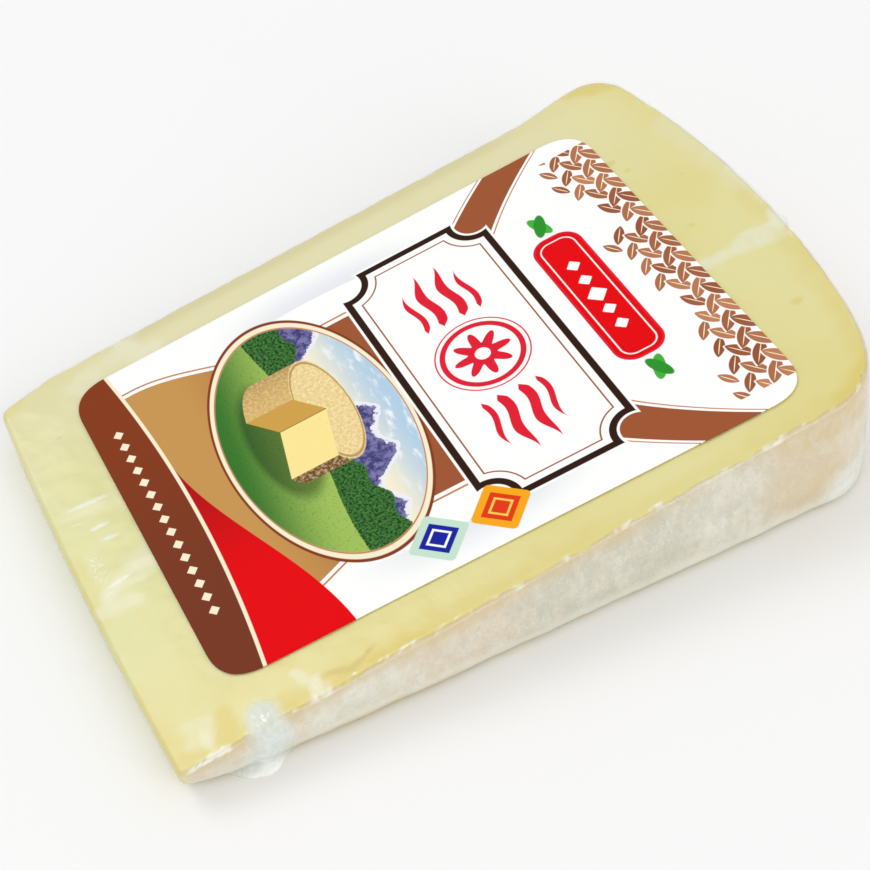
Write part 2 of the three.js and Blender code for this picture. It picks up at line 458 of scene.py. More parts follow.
@dataclass
class PackShell:
    """The cheese, or the film drawn tight round it, as one closed surface.

    Both follow the same walls. The cheese lies a little inside the film and has the rind's
    grain and the paste's eyes; the film bridges those and has its own pleat, ear, seam and
    fine creases.
    """

    form: WedgeForm
    skin: Skin
    inside: float
    crown: float = 0.22
    crown_reach: float = 9.0
    round_rings: int = 6
    wall_rings: int = 24
    rind_depth: float = 0.22
    rind_waves: tuple[float, ...] = (0.31, 0.4, 0.52, 0.13)
    rind_phase: float = 2.0
    rind_grain: Waves = ((0.10, 7.0, 11), (0.06, 2.8, 12))
    ragged_rim: Waves = ((0.16, 4.5, 31), (0.10, 2.4, 32))
    paste_relief: Waves = ((0.05, 14.0, 41), (0.03, 4.0, 42))
    film_creases: Waves = ((0.04, 3.2, 21), (0.05, 9.0, 22))
    film_relief: Waves = ((0.02, 5.0, 51),)
    # The dash values place painted highlights along the upper edge of the rind.
    dash_runs: Waves = ((0.5, 6.0, 91), (0.5, 2.4, 92), (0.4, 1.5, 94))
    dash_wander: Waves = ((0.32, 5.0, 93),)
    dash_swell: Waves = ((0.22, 3.0, 95),)
    dash_middle: float = -0.25
    dash_half_width: float = 0.42
    dash_share: float = 0.3
    dash_share_near: float = 0.65
    band_share: float = 0.18
    band_share_heel: float = 0.3
    band_reach: Pair = (0.4, 5.0)
    band_wander: Waves = ((0.9, 6.0, 71),)
    ochre_seed: int = 80
    flat_seed: int = 100
    standing_seed: int = 140
    pleat_middle: float = 15.5
    pleat_half_width: float = 3.4
    pleat_height: float = 0.9
    ear_middle: float = 13.4
    ear_half_width: float = 7.2
    ear_reach: float = 3.1
    ear_height: float = 1.2
    ear_pleats: tuple[Pair, Pair] = ((0.05, 2.3), (0.06, 5.1))
    seam_middle: float = -5.6
    seam_step: float = -8.4
    seam_half_width: float = 1.7
    seam_height: float = 0.6
    seam_depth: float = 0.5
    face_seam_offset: float = 1.2
    face_seam_half_width: float = 2.2
    face_seam_height: float = 0.10
    face_pleat_offset: float = 0.5
    face_pleat_half_width: float = 3.6
    face_pleat_reach: float = 6.5
    face_pleat_height: float = 0.55
    eyes: tuple[Spot, ...] = (
        Spot(135.3, -24.8, 1.3, -0.3),
        Spot(127.2, 28.9, 1.0, -0.25),
        Spot(8.2, 33.0, 0.8, -0.15),
        Spot(130.4, 3.9, 0.7, -0.12),
    )

    def wall_relief(self, ring: Array, way: Array, z: Array) -> Array:
        """What stands out from the plain wall, along the way out, in millimetres.

        Two crossing sine waves make the rind's slow unevenness, a half sine the wall's
        bulge. The film adds the pleat, the seam and the ear as humps, and the cheese a
        finer grain.

        Args:
            ring: The outline.
            way: The way out at each of its points.
            z: Height for each ring and point.

        Returns:
            Distance outwards, in the shape of z.
        """
        x, y = ring.T
        height = self.form.top(x)
        rise = np.sin(math.pi * np.clip(z / height, 0, 1))
        near = np.clip(-way[:, 1], 0, None) ** 2
        far = np.clip(way[:, 1], 0, None) ** 2
        heel = np.clip(way[:, 0], 0, None) ** 2
        along, across, up, slow = self.rind_waves
        waves = np.sin(along * x + across * y + up * z)
        waves = waves + np.sin(slow * x - up * z + self.rind_phase)
        walls = near + far + heel
        relief = self.rind_depth * walls * waves * rise
        relief = relief + self.form.wall_bulge * rise
        places = np.stack([np.broadcast_to(x, z.shape), np.broadcast_to(y, z.shape), z], -1)
        if self.skin is Skin.CHEESE:
            return relief + walls * uneven(places, self.rind_grain)
        pleat = near * self.pleat_height * hump(x - self.pleat_middle, self.pleat_half_width)
        seam = self.seam_height * hump(y - self.seam_middle, self.seam_half_width)
        seam = seam - self.seam_depth * hump(y - self.seam_step, self.seam_half_width)
        low = 1 - ease(z, 0.0, self.ear_height)
        pleats = 1 + sum(depth * np.sin(TURN * x / length) for depth, length in self.ear_pleats)
        ear = near * self.ear_reach * hump(x - self.ear_middle, self.ear_half_width) * low * pleats
        return relief + pleat + heel * seam + ear + walls * uneven(places, self.film_creases)

    def rings(self) -> tuple[Array, Array]:
        """Rings round the lower edge, up the wall and round the upper edge.

        Each edge is a quarter turn, and the wall is stepped evenly between them.

        Returns:
            The rings' points, and each point's distance from the nearer cut face, along the
            wall and below 0.
        """
        form = self.form
        ring = form.outline()
        way = outward(ring)
        height = form.top(ring[:, 0])
        quarter = np.linspace(0, math.pi / 2, self.round_rings)
        up = np.linspace(0, 1, self.wall_rings)[1:-1, None]
        low = self.inside + form.base_round * (1 - np.cos(quarter))
        low_in = form.base_round * (1 - np.sin(quarter))
        wall_start = self.inside + form.base_round
        wall_end = height - self.inside - form.top_round
        wall = wall_start * (1 - up) + wall_end * up
        high = self.inside + form.top_round * (1 - np.sin(quarter))
        high_in = form.top_round * (1 - np.cos(quarter))
        foot = np.broadcast_to(low[:, None], (len(low), len(ring)))
        z = np.concatenate([foot, wall, height - high[:, None]])
        inset = np.concatenate([low_in, np.zeros(len(wall)), high_in])[:, None] + self.inside
        relief = self.wall_relief(ring, way, z)
        if self.skin is Skin.CHEESE:
            near = np.clip(-way[:, 1], 0, None) ** 2
            relief = relief + uneven(ring, self.ragged_rim) * near * ease(z / height, 0.7, 1.0)
        points = form.stand(ring, inset - relief, z)
        edge = len(z) - len(high)
        points[edge:, :, 2] = form.top(points[edge:, :, 0]) - high[:, None]
        round_edge = np.linspace(1.4, 0, len(high))[:, None] + 0 * height
        from_top = np.concatenate([height - z[:edge], round_edge])
        return points, -np.minimum(from_top, z - self.inside + 0.02)

    def dress_faces(self, block: Block) -> Array:
        """Gives the two cut faces their relief, and measures how far in each point lies.

        The upper face is crowned by a smoothed step from its rim, which lifts the paste to
        the label, and carries slow ripples and the eyes, as humps. The base stays flat.

        Args:
            block: The shell's mesh, whose points are moved.

        Returns:
            Distance of each point from the rim, inwards.
        """
        inward = np.zeros(len(block.points))
        for grid in (block.base, block.top):
            inner = grid[1:-1, 1:-1].ravel()
            rim = np.concatenate([grid[:, 0], grid[:, -1], grid[0], grid[-1]])
            inward[inner] = nearest(block.points[inner, :2], block.points[rim, :2])
        face = block.top.ravel()
        spots = block.points[face]
        lift = self.crown * ease(inward[face], 0, self.crown_reach)
        if self.skin is Skin.CHEESE:
            lift = lift + uneven(spots, self.paste_relief) * ease(inward[face], 0, 3)
            for eye in self.eyes:
                away = np.hypot(spots[:, 0] - eye.x, spots[:, 1] - eye.y)
                lift = lift + eye.rise * hump(away, eye.radius)
        else:
            lift = lift + self.film_lift(spots, inward[face])
        block.points[face, 2] += lift
        return inward

    def film_lift(self, spots: Array, inward: Array) -> Array:
        """How far the film stands off the cut face: creases at the tip and a pleat.

        Creases are narrow humps across y that run in from the tip, and the seam is one low
        hump from tip to heel. The pleat runs on from the near wall over the rim.

        Args:
            spots: Points of the upper face.
            inward: Their distance from the rim.

        Returns:
            Rise in millimetres.
        """
        x, y = spots[:, 0], spots[:, 1]
        flat = ease(inward, 0, 2)
        lift = uneven(spots, self.film_relief) * flat
        for middle, wide, start, end, rise in TIP_CREASES:
            reach = hump(x - (start + end) / 2, (end - start) / 2)
            lift = lift + rise * reach * hump(y - middle, wide)
        off = y - self.seam_middle - self.face_seam_offset
        seam = self.face_seam_height * hump(off, self.face_seam_half_width) * flat
        off = x - self.pleat_middle - self.face_pleat_offset
        pleat = self.face_pleat_height * hump(off, self.face_pleat_half_width)
        pleat = pleat * hump(y - self.form.near, self.face_pleat_reach)
        return lift + seam + pleat * ease(inward, -0.5, 1.0)

    def build(self, name: str, shift: Array) -> bpy.types.Object:
        """Makes the shell's object.

        Args:
            name: The object's name.
            shift: From the wedge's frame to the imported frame, in millimetres.

        Returns:
            The object, with the marks its finish reads.
        """
        rings, down = self.rings()
        block = Block.from_rings(rings, self.form.along, self.form.across)
        inward = self.dress_faces(block)
        inward[block.rings.ravel()] = down.ravel()
        inward[block.rings[[0, -1]]] = 0.0
        if self.skin is Skin.CHEESE:
            return block.mesh(name, shift, self.cheese_marks(block, inward))
        folds = covers(STANDING_FOLDS, block.points, self.standing_seed)
        return block.mesh(name, shift, layered(folds))

    def cheese_marks(self, block: Block, inward: Array) -> dict[str, Array]:
        """Where the cheese is rind, and where it is darker, pinker or paler.

        Paste darkens in a band inside the rim, most on the near side, and in the ochre
        strokes. Each tint of the rind has its own rule.

        Args:
            block: The cheese's mesh.
            inward: How far in from the rim each point lies, below 0 on the walls.

        Returns:
            Marks by name.
        """
        points = block.points
        x, y, _ = points.T
        near, heel = 1 - ease(y, -46.0, -30.0), ease(x, 118.0, 140.0) * (1 - ease(y, -20.0, 20.0))
        side = self.band_share * ease(x, 1.0, 14.0) + near * np.interp(x, *BAND_ALONG)
        side = side + self.band_share_heel * heel
        ochre = side * (1 - ease(inward + uneven(points, self.band_wander), *self.band_reach))
        ochre = ochre * ease(inward, -2.4, -1.0)
        for stroke, _ in covers(OCHRE_STROKES, points, self.ochre_seed):
            ochre = 1 - (1 - ochre) * (1 - stroke)
        on_near = 1 - ease(y, -48.0, -40.0)
        folds = covers(FLAT_FOLDS_AND_GLINTS, points, self.flat_seed)
        return {
            "rim": inward,
            "crust": ease(x, 0.4, 2.6),
            "ochre": ochre,
            **{name: tint.over(points, on_near) for name, tint in RIND_TINTS.items()},
            **layered([self.rim_highlights(points, inward)] + folds),
        }

    def rim_highlights(self, points: Array, inward: Array) -> tuple[Array, float]:
        """Painted highlights: short bright dashes along the rind's upper edge, under the film.

        They lie where ripples along the rim are high, as a narrow hump across it.

        Args:
            points: The cheese's points.
            inward: How far in from the rim each lies, below 0 on the walls.

        Returns:
            Their cover, and how warm they are.
        """
        x, y, z = points.T
        flat = points[:, :2]
        middle = self.dash_middle + uneven(flat, self.dash_wander)
        thick = self.dash_half_width + uneven(flat, self.dash_swell)
        near, tip = 1 - ease(y, -46.0, -38.0), 1 - ease(x, 0.5, 3.0)
        upper = ease(z / self.form.top(x), 0.4, 0.6)
        cover = ease(uneven(flat, self.dash_runs), 0.1, 0.8) * hump(inward - middle, thick)
        share = self.dash_share + self.dash_share_near * near
        return cover * share * (1 - tip) * upper, 1.0


def covers(strokes: Sequence[Stroke], points: Array, seed: int) -> list[tuple[Array, float]]:
    """Each stroke's cover of the points, and how warm it is."""
    return [(stroke.cover(points, seed + i), stroke.warm) for i, stroke in enumerate(strokes)]


def layered(layers: Sequence[tuple[Array, float]]) -> dict[str, Array]:
    """Lays covers over each other: what one leaves clear, the next may cover.

    Args:
        layers: Cover and warmth of each.

    Returns:
        The whole cover as veil_and_sheen, and its mean warmth as warm.
    """
    veil_and_sheen, warm = 0.0, 0.0
    for share, hue in layers:
        veil_and_sheen = 1 - (1 - veil_and_sheen) * (1 - share)
        warm = warm * (1 - share) + hue * share
    return {"veil_and_sheen": veil_and_sheen, "warm": np.clip(warm / np.maximum(veil_and_sheen, 1e-4), 0, 1)}


@dataclass(frozen=True)
class RindTint:
    """How strong one tint of the rind is: set along x on the near wall, rippled elsewhere."""

    places: tuple[float, ...]
    values: tuple[float, ...]
    level: float
    swing: Waves
    mottle: Waves = ()

    def over(self, points: Array, near: Array) -> Array:
        """Its strength, which goes in straight lines between its values at places along x.

        Args:
            points: Places, one per row.
            near: How far each lies on the near wall, from 0 to 1.

        Returns:
            Strength from 0 to 1.
        """
        along = np.interp(points[:, 0], self.places, self.values)
        strength = near * along + (1 - near) * (self.level + uneven(points, self.swing))
        return np.clip(strength + uneven(points, self.mottle), 0, 1)


RIND_TINTS = {
    "blush": RindTint(
        (0, 10, 22, 30, 40, 45, 62, 68, 80, 90, 102, 112, 116, 122, 127, 140),
        (0.7, 0.6, 0.35, 0.1, 0.3, 0.85, 0.8, 0.2, 0.15, 0.4, 0.15, 0.3, 0.95, 0.9, 0.45, 0.4),
        0.42,
        ((0.4, 16.0, 72),),
        ((0.35, 6.0, 71),),
    ),
    "pale": RindTint(
        (0, 10, 22, 30, 40, 46, 62, 68, 80, 90, 102, 112, 118, 124, 128, 145),
        (0.1, 0.3, 0.5, 0.55, 0.45, 0.25, 0.15, 0.25, 0.3, 0.1, 0.6, 0.4, 0.15, 0.2, 0.3, 0.5),
        0.45,
        ((-0.4, 16.0, 72),),
        ((0.25, 5.0, 73),),
    ),
    "grey": RindTint(
        (0, 20, 36, 46, 60, 68, 80, 92, 102, 112, 118, 126, 145),
        (0.2, 0.2, 0.3, 0.25, 0.4, 0.9, 0.8, 0.9, 0.45, 0.55, 0.3, 0.1, 0.2),
        0.4,
        ((0.4, 15.0, 74),),
    ),
    "tan": RindTint(
        (0, 10, 22, 30, 38, 46, 58, 66, 82, 92, 106, 112, 118, 134, 145),
        (0.6, 0.9, 0.9, 0.15, 0.1, 0.7, 1.0, 0.6, 0.9, 0.3, 0.1, 0.5, 1.0, 1.0, 0.6),
        0.4,
        ((0.5, 11.0, 75),),
    ),
}

# How much darker the paste is inside the near rim: places along x, and the values there.
BAND_ALONG = (
    (0, 8, 20, 30, 42, 54, 68, 84, 112, 135),
    (0.25, 0.45, 0.6, 0.8, 0.74, 0.44, 0.26, 0.18, 0.14, 0.08),
)

# Patches of darker, more saturated paste.
OCHRE_STROKES = (
    Stroke(((10.8, -43.6, 9.8), (9.8, -48.6, 9.5)), (1.6, 2.2), 0.95),
    Stroke(((21.0, -46.6, 11.1), (24.5, -48.6, 11.4)), (1.5, 1.6), 0.7),
    Stroke(((12.0, -40.5, 9.9), (24.0, -41.5, 11.4)), (2.0, 2.4), 0.22),
    Stroke(((24.0, -44.6, 11.6), (48.0, -45.0, 14.6)), (2.8, 3.2), 0.24),
    Stroke(((29.4, -48.2, 12.2), (34.0, -47.6, 12.8)), (1.5, 1.2), 0.65),
    Stroke(((28.0, -49.2, 12.2), (46.0, -48.9, 14.0)), (1.5, 1.2), 0.42),
    Stroke(((0.4, -13.0, 7.4), (0.6, 3.0, 7.8)), (1.9, 1.3), 0.36),
    Stroke(((0.6, -44.0, 7.6), (0.4, -30.0, 7.6)), (1.9, 1.2), 0.3),
    Stroke(((116.0, -50.8, 12.0), (122.0, -50.8, 9.0)), (5.0, 6.0), 0.6),
    Stroke(((2.0, -48.0, 8.6), (5.0, -49.4, 9.0)), (1.6, 1.2), 0.6),
    Stroke(((0.8, 45.8, 8.5), (4.2, 47.4, 9.0)), (1.9, 1.6), 0.4),
    Stroke(((130.0, -49.0, 25.0), (142.0, -42.0, 26.6), (144.0, -34.0, 27.0)), (2.4, 1.6), 0.8),
    Stroke(((131.0, 52.6, 25.4), (141.0, 49.0, 26.5), (143.0, 41.0, 26.8)), (2.2, 1.6), 0.72),
    Stroke(((144.3, -34.0, 27.0), (145.4, -14.0, 27.1)), (1.2, 1.0), 0.6),
)

# Milky folds that stand off the cheese: the pleat, the ear and the wraps at the corners.
STANDING_FOLDS = (
    Stroke(
        ((16.8, -47.9, 10.6), (16.8, -51.0, 8.0), (15.6, -51.8, 1.0)),
        (2.8, 4.8), 0.82, 0.0, 0.9, 0.2,
    ),
    Stroke(((7.0, -53.0, 0.4), (20.0, -53.0, 0.4)), (2.6, 2.6), 0.92, 1.0, 0.8, 0.15),
    Stroke(((145.6, -6.8, 25.0), (145.6, -7.0, 1.0)), (1.3, 1.3), 0.5, 0.5, 1.2, 0.3),
    Stroke(
        ((130.6, -50.8, 3.2), (137.0, -50.0, 4.4), (143.0, -45.6, 5.0), (143.8, -37.0, 5.2)),
        (6.6, 6.2), 0.62, 0.4, 0.75, 0.14,
    ),
    Stroke(((-0.8, 36.0, 0.6), (-0.8, -47.0, 0.6)), (3.4, 3.4), 0.5, 0.7, 1.4, 0.35),
    Stroke(((134.0, 52.6, 8.0), (144.0, 46.0, 8.0)), (6.0, 6.0), 0.35, 0.5, 1.4, 0.4),
    Stroke(((100.0, 52.6, 3.0), (118.0, 52.8, 10.0)), (2.0, 2.4), 0.35, 0.6, 1.4, 0.5),
    Stroke(((30.0, 51.6, 2.0), (52.0, 51.9, 6.0)), (1.6, 2.2), 0.35, 0.6, 1.4, 0.5),
    Stroke(((-0.6, 20.0, 2.0), (-0.6, 34.0, 3.0)), (1.2, 1.6), 0.4, 0.6, 1.2, 0.5),
)

# Milky patches where the film clings to the cheese: beside the pleat, at the tip, the seam.
# They are partly painted sheen of the film's creases.
FLAT_FOLDS_AND_GLINTS = (
    Stroke(
        ((6.2, -44.6, 9.2), (4.6, -42.2, 9.0), (8.4, -43.4, 9.5), (7.0, -47.0, 9.3),
         (4.2, -45.8, 9.0)),
        (1.0, 1.1), 0.24, 0.45, 1.0, 0.4,
    ),
    Stroke(((6.8, -45.2, 9.3), (7.1, -48.2, 9.3)), (0.8, 0.9), 0.28, 0.8, 1.1, 0.4),
    Stroke(
        ((24.4, -43.2, 11.6), (25.8, -45.4, 11.7), (27.2, -48.4, 11.9)),
        (1.0, 1.4), 0.42, 0.4, 1.2, 0.4,
    ),
    Stroke(((27.4, -46.2, 11.9), (25.8, -49.4, 11.7)), (0.7, 1.0), 0.34, 0.7, 1.2, 0.4),
    # The next three strokes are painted highlights on the near rim.
    Stroke(((25.4, -49.9, 11.6), (28.4, -50.1, 12.0)), (0.5, 0.5), 0.85, 0.9, 0.9, 0.6),
    Stroke(((2.0, -50.2, 8.3), (9.0, -50.2, 9.3)), (0.7, 0.75), 0.95, 0.9, 0.9, 0.5),
    Stroke(((112.4, -50.3, 22.9), (115.2, -50.3, 23.2)), (0.5, 0.65), 0.8, 1.0, 0.9, 0.5),
    Stroke(
        ((145.4, -6.6, 27.0), (136.0, -6.8, 26.0), (126.0, -7.4, 24.6)),
        (2.3, 1.3), 0.5, 0.2, 1.2, 0.6,
    ),
    Stroke(((145.2, -1.0, 27.1), (143.4, -5.2, 26.8)), (0.8, 1.5), 0.5, 0.4, 1.2, 0.45),
    Stroke(
        ((3.4, -7.6, 8.8), (8.4, -6.4, 9.5), (12.4, -4.0, 10.0)),
        (1.5, 2.6), 0.4, 0.5, 1.4, 0.45,
    ),
    Stroke(((1.4, -11.0, 8.7), (5.4, -11.6, 9.2)), (1.8, 2.6), 0.34, 0.3, 1.4, 0.5),
    Stroke(((2.4, 13.8, 8.7), (6.0, 12.4, 9.2), (12.0, 12.2, 9.9)), (1.0, 1.9), 0.2, 0.4, 1.4, 0.4),
    Stroke(((0.6, 27.0, 8.5), (1.4, 18.0, 8.6)), (1.0, 1.4), 0.1, 0.3, 1.4, 0.5),
    Stroke(((8.0, 34.0, 9.4), (20.0, 44.0, 11.0)), (2.4, 2.4), 0.05, 0.6, 1.4, 0.6),
    Stroke(((14.0, 43.0, 10.4), (26.0, 47.0, 11.8)), (2.0, 2.0), 0.22, 0.7, 1.4, 0.6),
    Stroke(((26.0, 50.2, 11.7), (31.0, 42.0, 12.4)), (1.8, 2.6), 0.36, 0.6, 1.4, 0.5),
    Stroke(((144.6, 12.5, 27.0), (144.8, 1.0, 27.1)), (0.9, 1.0), 0.3, 0.3, 1.2, 0.4),
    Stroke(((142.6, 31.0, 26.8), (144.4, 9.0, 27.0)), (3.2, 2.8), 0.24, 0.0, 1.4, 0.3),
    Stroke(((27.0, -51.0, 6.0), (40.0, -51.0, 6.0)), (4.0, 3.0), 0.16, 0.5, 1.4, 0.4),
)

# Creases that run in from the tip: y of the middle, half width, start and end in x, and rise.
TIP_CREASES = (
    (13.2, 0.7, 1.5, 12.5, 0.16),
    (6.2, 0.6, 5.0, 11.5, 0.13),
    (2.2, 0.5, 6.5, 10.5, 0.10),
    (-7.6, 1.1, 3.0, 13.5, 0.14),
    (-11.5, 0.8, 2.0, 9.5, 0.10),
    (-2.6, 0.5, 1.0, 6.0, 0.09),
    (-17.5, 0.7, 0.5, 8.0, 0.08),
    (27.0, 0.8, 0.5, 7.0, 0.07),
)


def nearest(points: Array, rim: Array) -> Array:
    """Distance from each point to the nearest point of a rim, in slices to save memory."""
    slices = np.array_split(points, 40)
    return np.concatenate([np.sqrt(((p[:, None] - rim[None]) ** 2).sum(-1).min(1)) for p in slices])


@dataclass
class PaperLabel:
    """The label: a thin sheet, narrower at the tip, with round corners."""

    form: WedgeForm
    length: float = 113.9
    tip_width: float = 80.2
    heel_width: float = 85.7
    skew: float = -2.15
    corner_reach: float = 8.0
    cad_thickness: float = 0.3
    cad_gap: float = 0.3
    middle_x: float = 69.7
    middle_y: float = 0.13
    waviness: Waves = ((0.02, 22.0, 61),)
    gap: float = 0.24
    thickness: float = 0.2
    along: int = 96
    across: int = 72
    corner_steps: int = 40
    edge_steps: int = 60
    ring_heights: tuple[float, ...] = (0.0, 0.25, 0.8, 1.0)
    ring_insets: tuple[float, ...] = (0.05, 0.0, 0.0, 0.06)
    print_share: float = 0.98
    print_spare: float = 1.1
    under_share: float = 0.015
    under_place: float = 0.002

    def outline(self) -> Array:
        """The sheet seen square on, anticlockwise: four straight edges and parabola corners.

        Returns:
            Points as rows: along the slope towards the heel, and across towards far.
        """
        half = self.length / 2
        ends = [(-half, self.tip_width, -self.skew / 2), (half, self.heel_width, self.skew / 2)]
        near = [np.array([x, middle - width / 2]) for x, width, middle in ends]
        far = [np.array([x, middle + width / 2]) for x, width, middle in ends]
        corners = [near[0], near[1], far[1], far[0]]
        parts = []
        for i, corner in enumerate(corners):
            before, after = (
                corner + (other - corner) * self.corner_reach / np.linalg.norm(other - corner)
                for other in (corners[i - 1], corners[(i + 1) % 4])
            )
            parts.append(bezier(before, corner, after, count=self.corner_steps + 1)[:-1])
            start, end = after, corners[(i + 1) % 4]
            last = end + (start - end) * self.corner_reach / np.linalg.norm(start - end)
            parts.append(line(after, last, self.edge_steps + 1)[:-1])
        path = np.roll(np.concatenate(parts), -self.corner_steps // 2, axis=0)
        turns = [k * (self.corner_steps + self.edge_steps) for k in (1, 2, 3)]
        return even_sides(path, turns, (self.along, self.across))

    def shift(self) -> Array:
        """From the wedge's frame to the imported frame: where the label's box says it is.

        Returns:
            The way that a point moves, in millimetres.
        """
        low, high = (np.array(corner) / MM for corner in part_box("label"))
        ring = self.outline()
        lean = (self.cad_gap + self.cad_thickness / 2) * math.sin(self.form.cut_angle)
        x = self.middle_x - lean + (ring[:, 0].max() + ring[:, 0].min()) / 2
        y = self.middle_y + (ring[:, 1].max() + ring[:, 1].min()) / 2
        return np.array([(low[0] + high[0]) / 2 - x, (low[1] + high[1]) / 2 - y, 0.0])

    def build(self, name: str, shift: Array) -> bpy.types.Object:
        """Makes the label's object: the outline, stood up as four rings and filled.

        A place at (u, v, w) on the slope is u along it, v across it and w above it.

        Args:
            name: The object's name.
            shift: From the wedge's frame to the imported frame, in millimetres.

        Returns:
            The object, laid out for its print.
        """
        ring = self.outline()
        lifts = self.gap + self.thickness * np.array(self.ring_heights)
        insets = np.array(self.ring_insets)[:, None, None]
        sizes = 1 - insets / np.array([self.length / 2, self.heel_width / 2])
        flat = ring[None] * sizes
        level = np.broadcast_to(lifts[:, None, None], (*flat.shape[:2], 1))
        block = Block.from_rings(np.concatenate([flat, level], -1), self.along, self.across)
        sheet = block.points.copy()
        block.points[:, 2] += uneven(sheet[:, :2], self.waviness)
        whole = np.array([self.length, self.heel_width + self.print_spare])
        uv = sheet[:, :2] / whole * self.print_share + 0.5
        under = np.zeros(len(sheet), bool)
        under[block.base.ravel()] = True
        uv[under] = uv[under] * self.under_share + self.under_place
        block.points = self.on_slope(block.points)
        return block.mesh(name, shift, {}, uv)

    def on_slope(self, places: Array) -> Array:
        """From the slope to the wedge's frame: turned up by the cut angle, then moved.

        Args:
            places: (u, v, w) on the slope, one per row.

        Returns:
            Points in the wedge's frame, one per row.
        """
        u, v, w = places.T
        sine, cosine = math.sin(self.form.cut_angle), math.cos(self.form.cut_angle)
        x = self.middle_x + u * cosine - w * sine
        z = self.form.top(self.middle_x) + u * sine + w * cosine
        return np.stack([x, self.middle_y + v, z], -1)


# ------------------------------------------------------------------ shader workbench


def ink(red: int, green: int, blue: int) -> Colour:
    """A screen colour, 0 to 255, as the linear colour shaders use."""
    parts = (c / 255 for c in (red, green, blue))
    return (*(c / 12.92 if c < 0.04045 else ((c + 0.055) / 1.055) ** 2.4 for c in parts), 1.0)


class Wire:
    """A node's output, on which Python's operators add Math nodes."""

    def __init__(self, bench: "Bench", socket: bpy.types.NodeSocket) -> None:
        """Keeps the workbench and the socket."""
        self.bench = bench
        self.socket = socket

    def math(self, operation: str, *values: "float | Wire", clamp: bool = False) -> "Wire":
        """A Math node on this value and others, in that order."""
        settings = {"operation": operation, "use_clamp": clamp}
        return self.bench.node("ShaderNodeMath", settings, dict(enumerate((self, *values))))

    def _from(self, value: float, operation: str) -> "Wire":
        """A Math node on a plain number and this value, in that order."""
        return self.bench.node("ShaderNodeMath", {"operation": operation}, {0: value, 1: self})

    def __add__(self, other: "float | Wire") -> "Wire":
        """Sum."""
        return self.math("ADD", other)

    __radd__ = __add__

    def __sub__(self, other: "float | Wire") -> "Wire":
        """Difference."""
        return self.math("SUBTRACT", other)

    def __rsub__(self, other: float) -> "Wire":
        """Difference, with a number first."""
        return self._from(other, "SUBTRACT")

    def __mul__(self, other: "float | Wire") -> "Wire":
        """Product."""
        return self.math("MULTIPLY", other)

    __rmul__ = __mul__

    def __truediv__(self, other: "float | Wire") -> "Wire":
        """Quotient."""
        return self.math("DIVIDE", other)

    def __rtruediv__(self, other: float) -> "Wire":
        """Quotient, with a number first."""
        return self._from(other, "DIVIDE")

    def __neg__(self) -> "Wire":
        """The value with its sign changed."""
        return self.math("MULTIPLY", -1.0)

    def __abs__(self) -> "Wire":
        """The value without its sign."""
        return self.math("ABSOLUTE")

    def __pow__(self, other: float) -> "Wire":
        """Power."""
        return self.math("POWER", other)

    def low(self, other: "float | Wire") -> "Wire":
        """The smaller of two."""
        return self.math("MINIMUM", other)

    def high(self, other: "float | Wire") -> "Wire":
        """The greater of two."""
        return self.math("MAXIMUM", other)

    def clamped(self) -> "Wire":
        """The value kept within 0 to 1."""
        return self.math("ADD", 0.0, clamp=True)

    def ease(self, start: "float | Wire", end: "float | Wire") -> "Wire":
        """0 at start and 1 at end, level at both."""
        sockets = {"Value": self, "From Min": start, "From Max": end}
        return self.bench.node("ShaderNodeMapRange", {"interpolation_type": "SMOOTHSTEP"}, sockets)


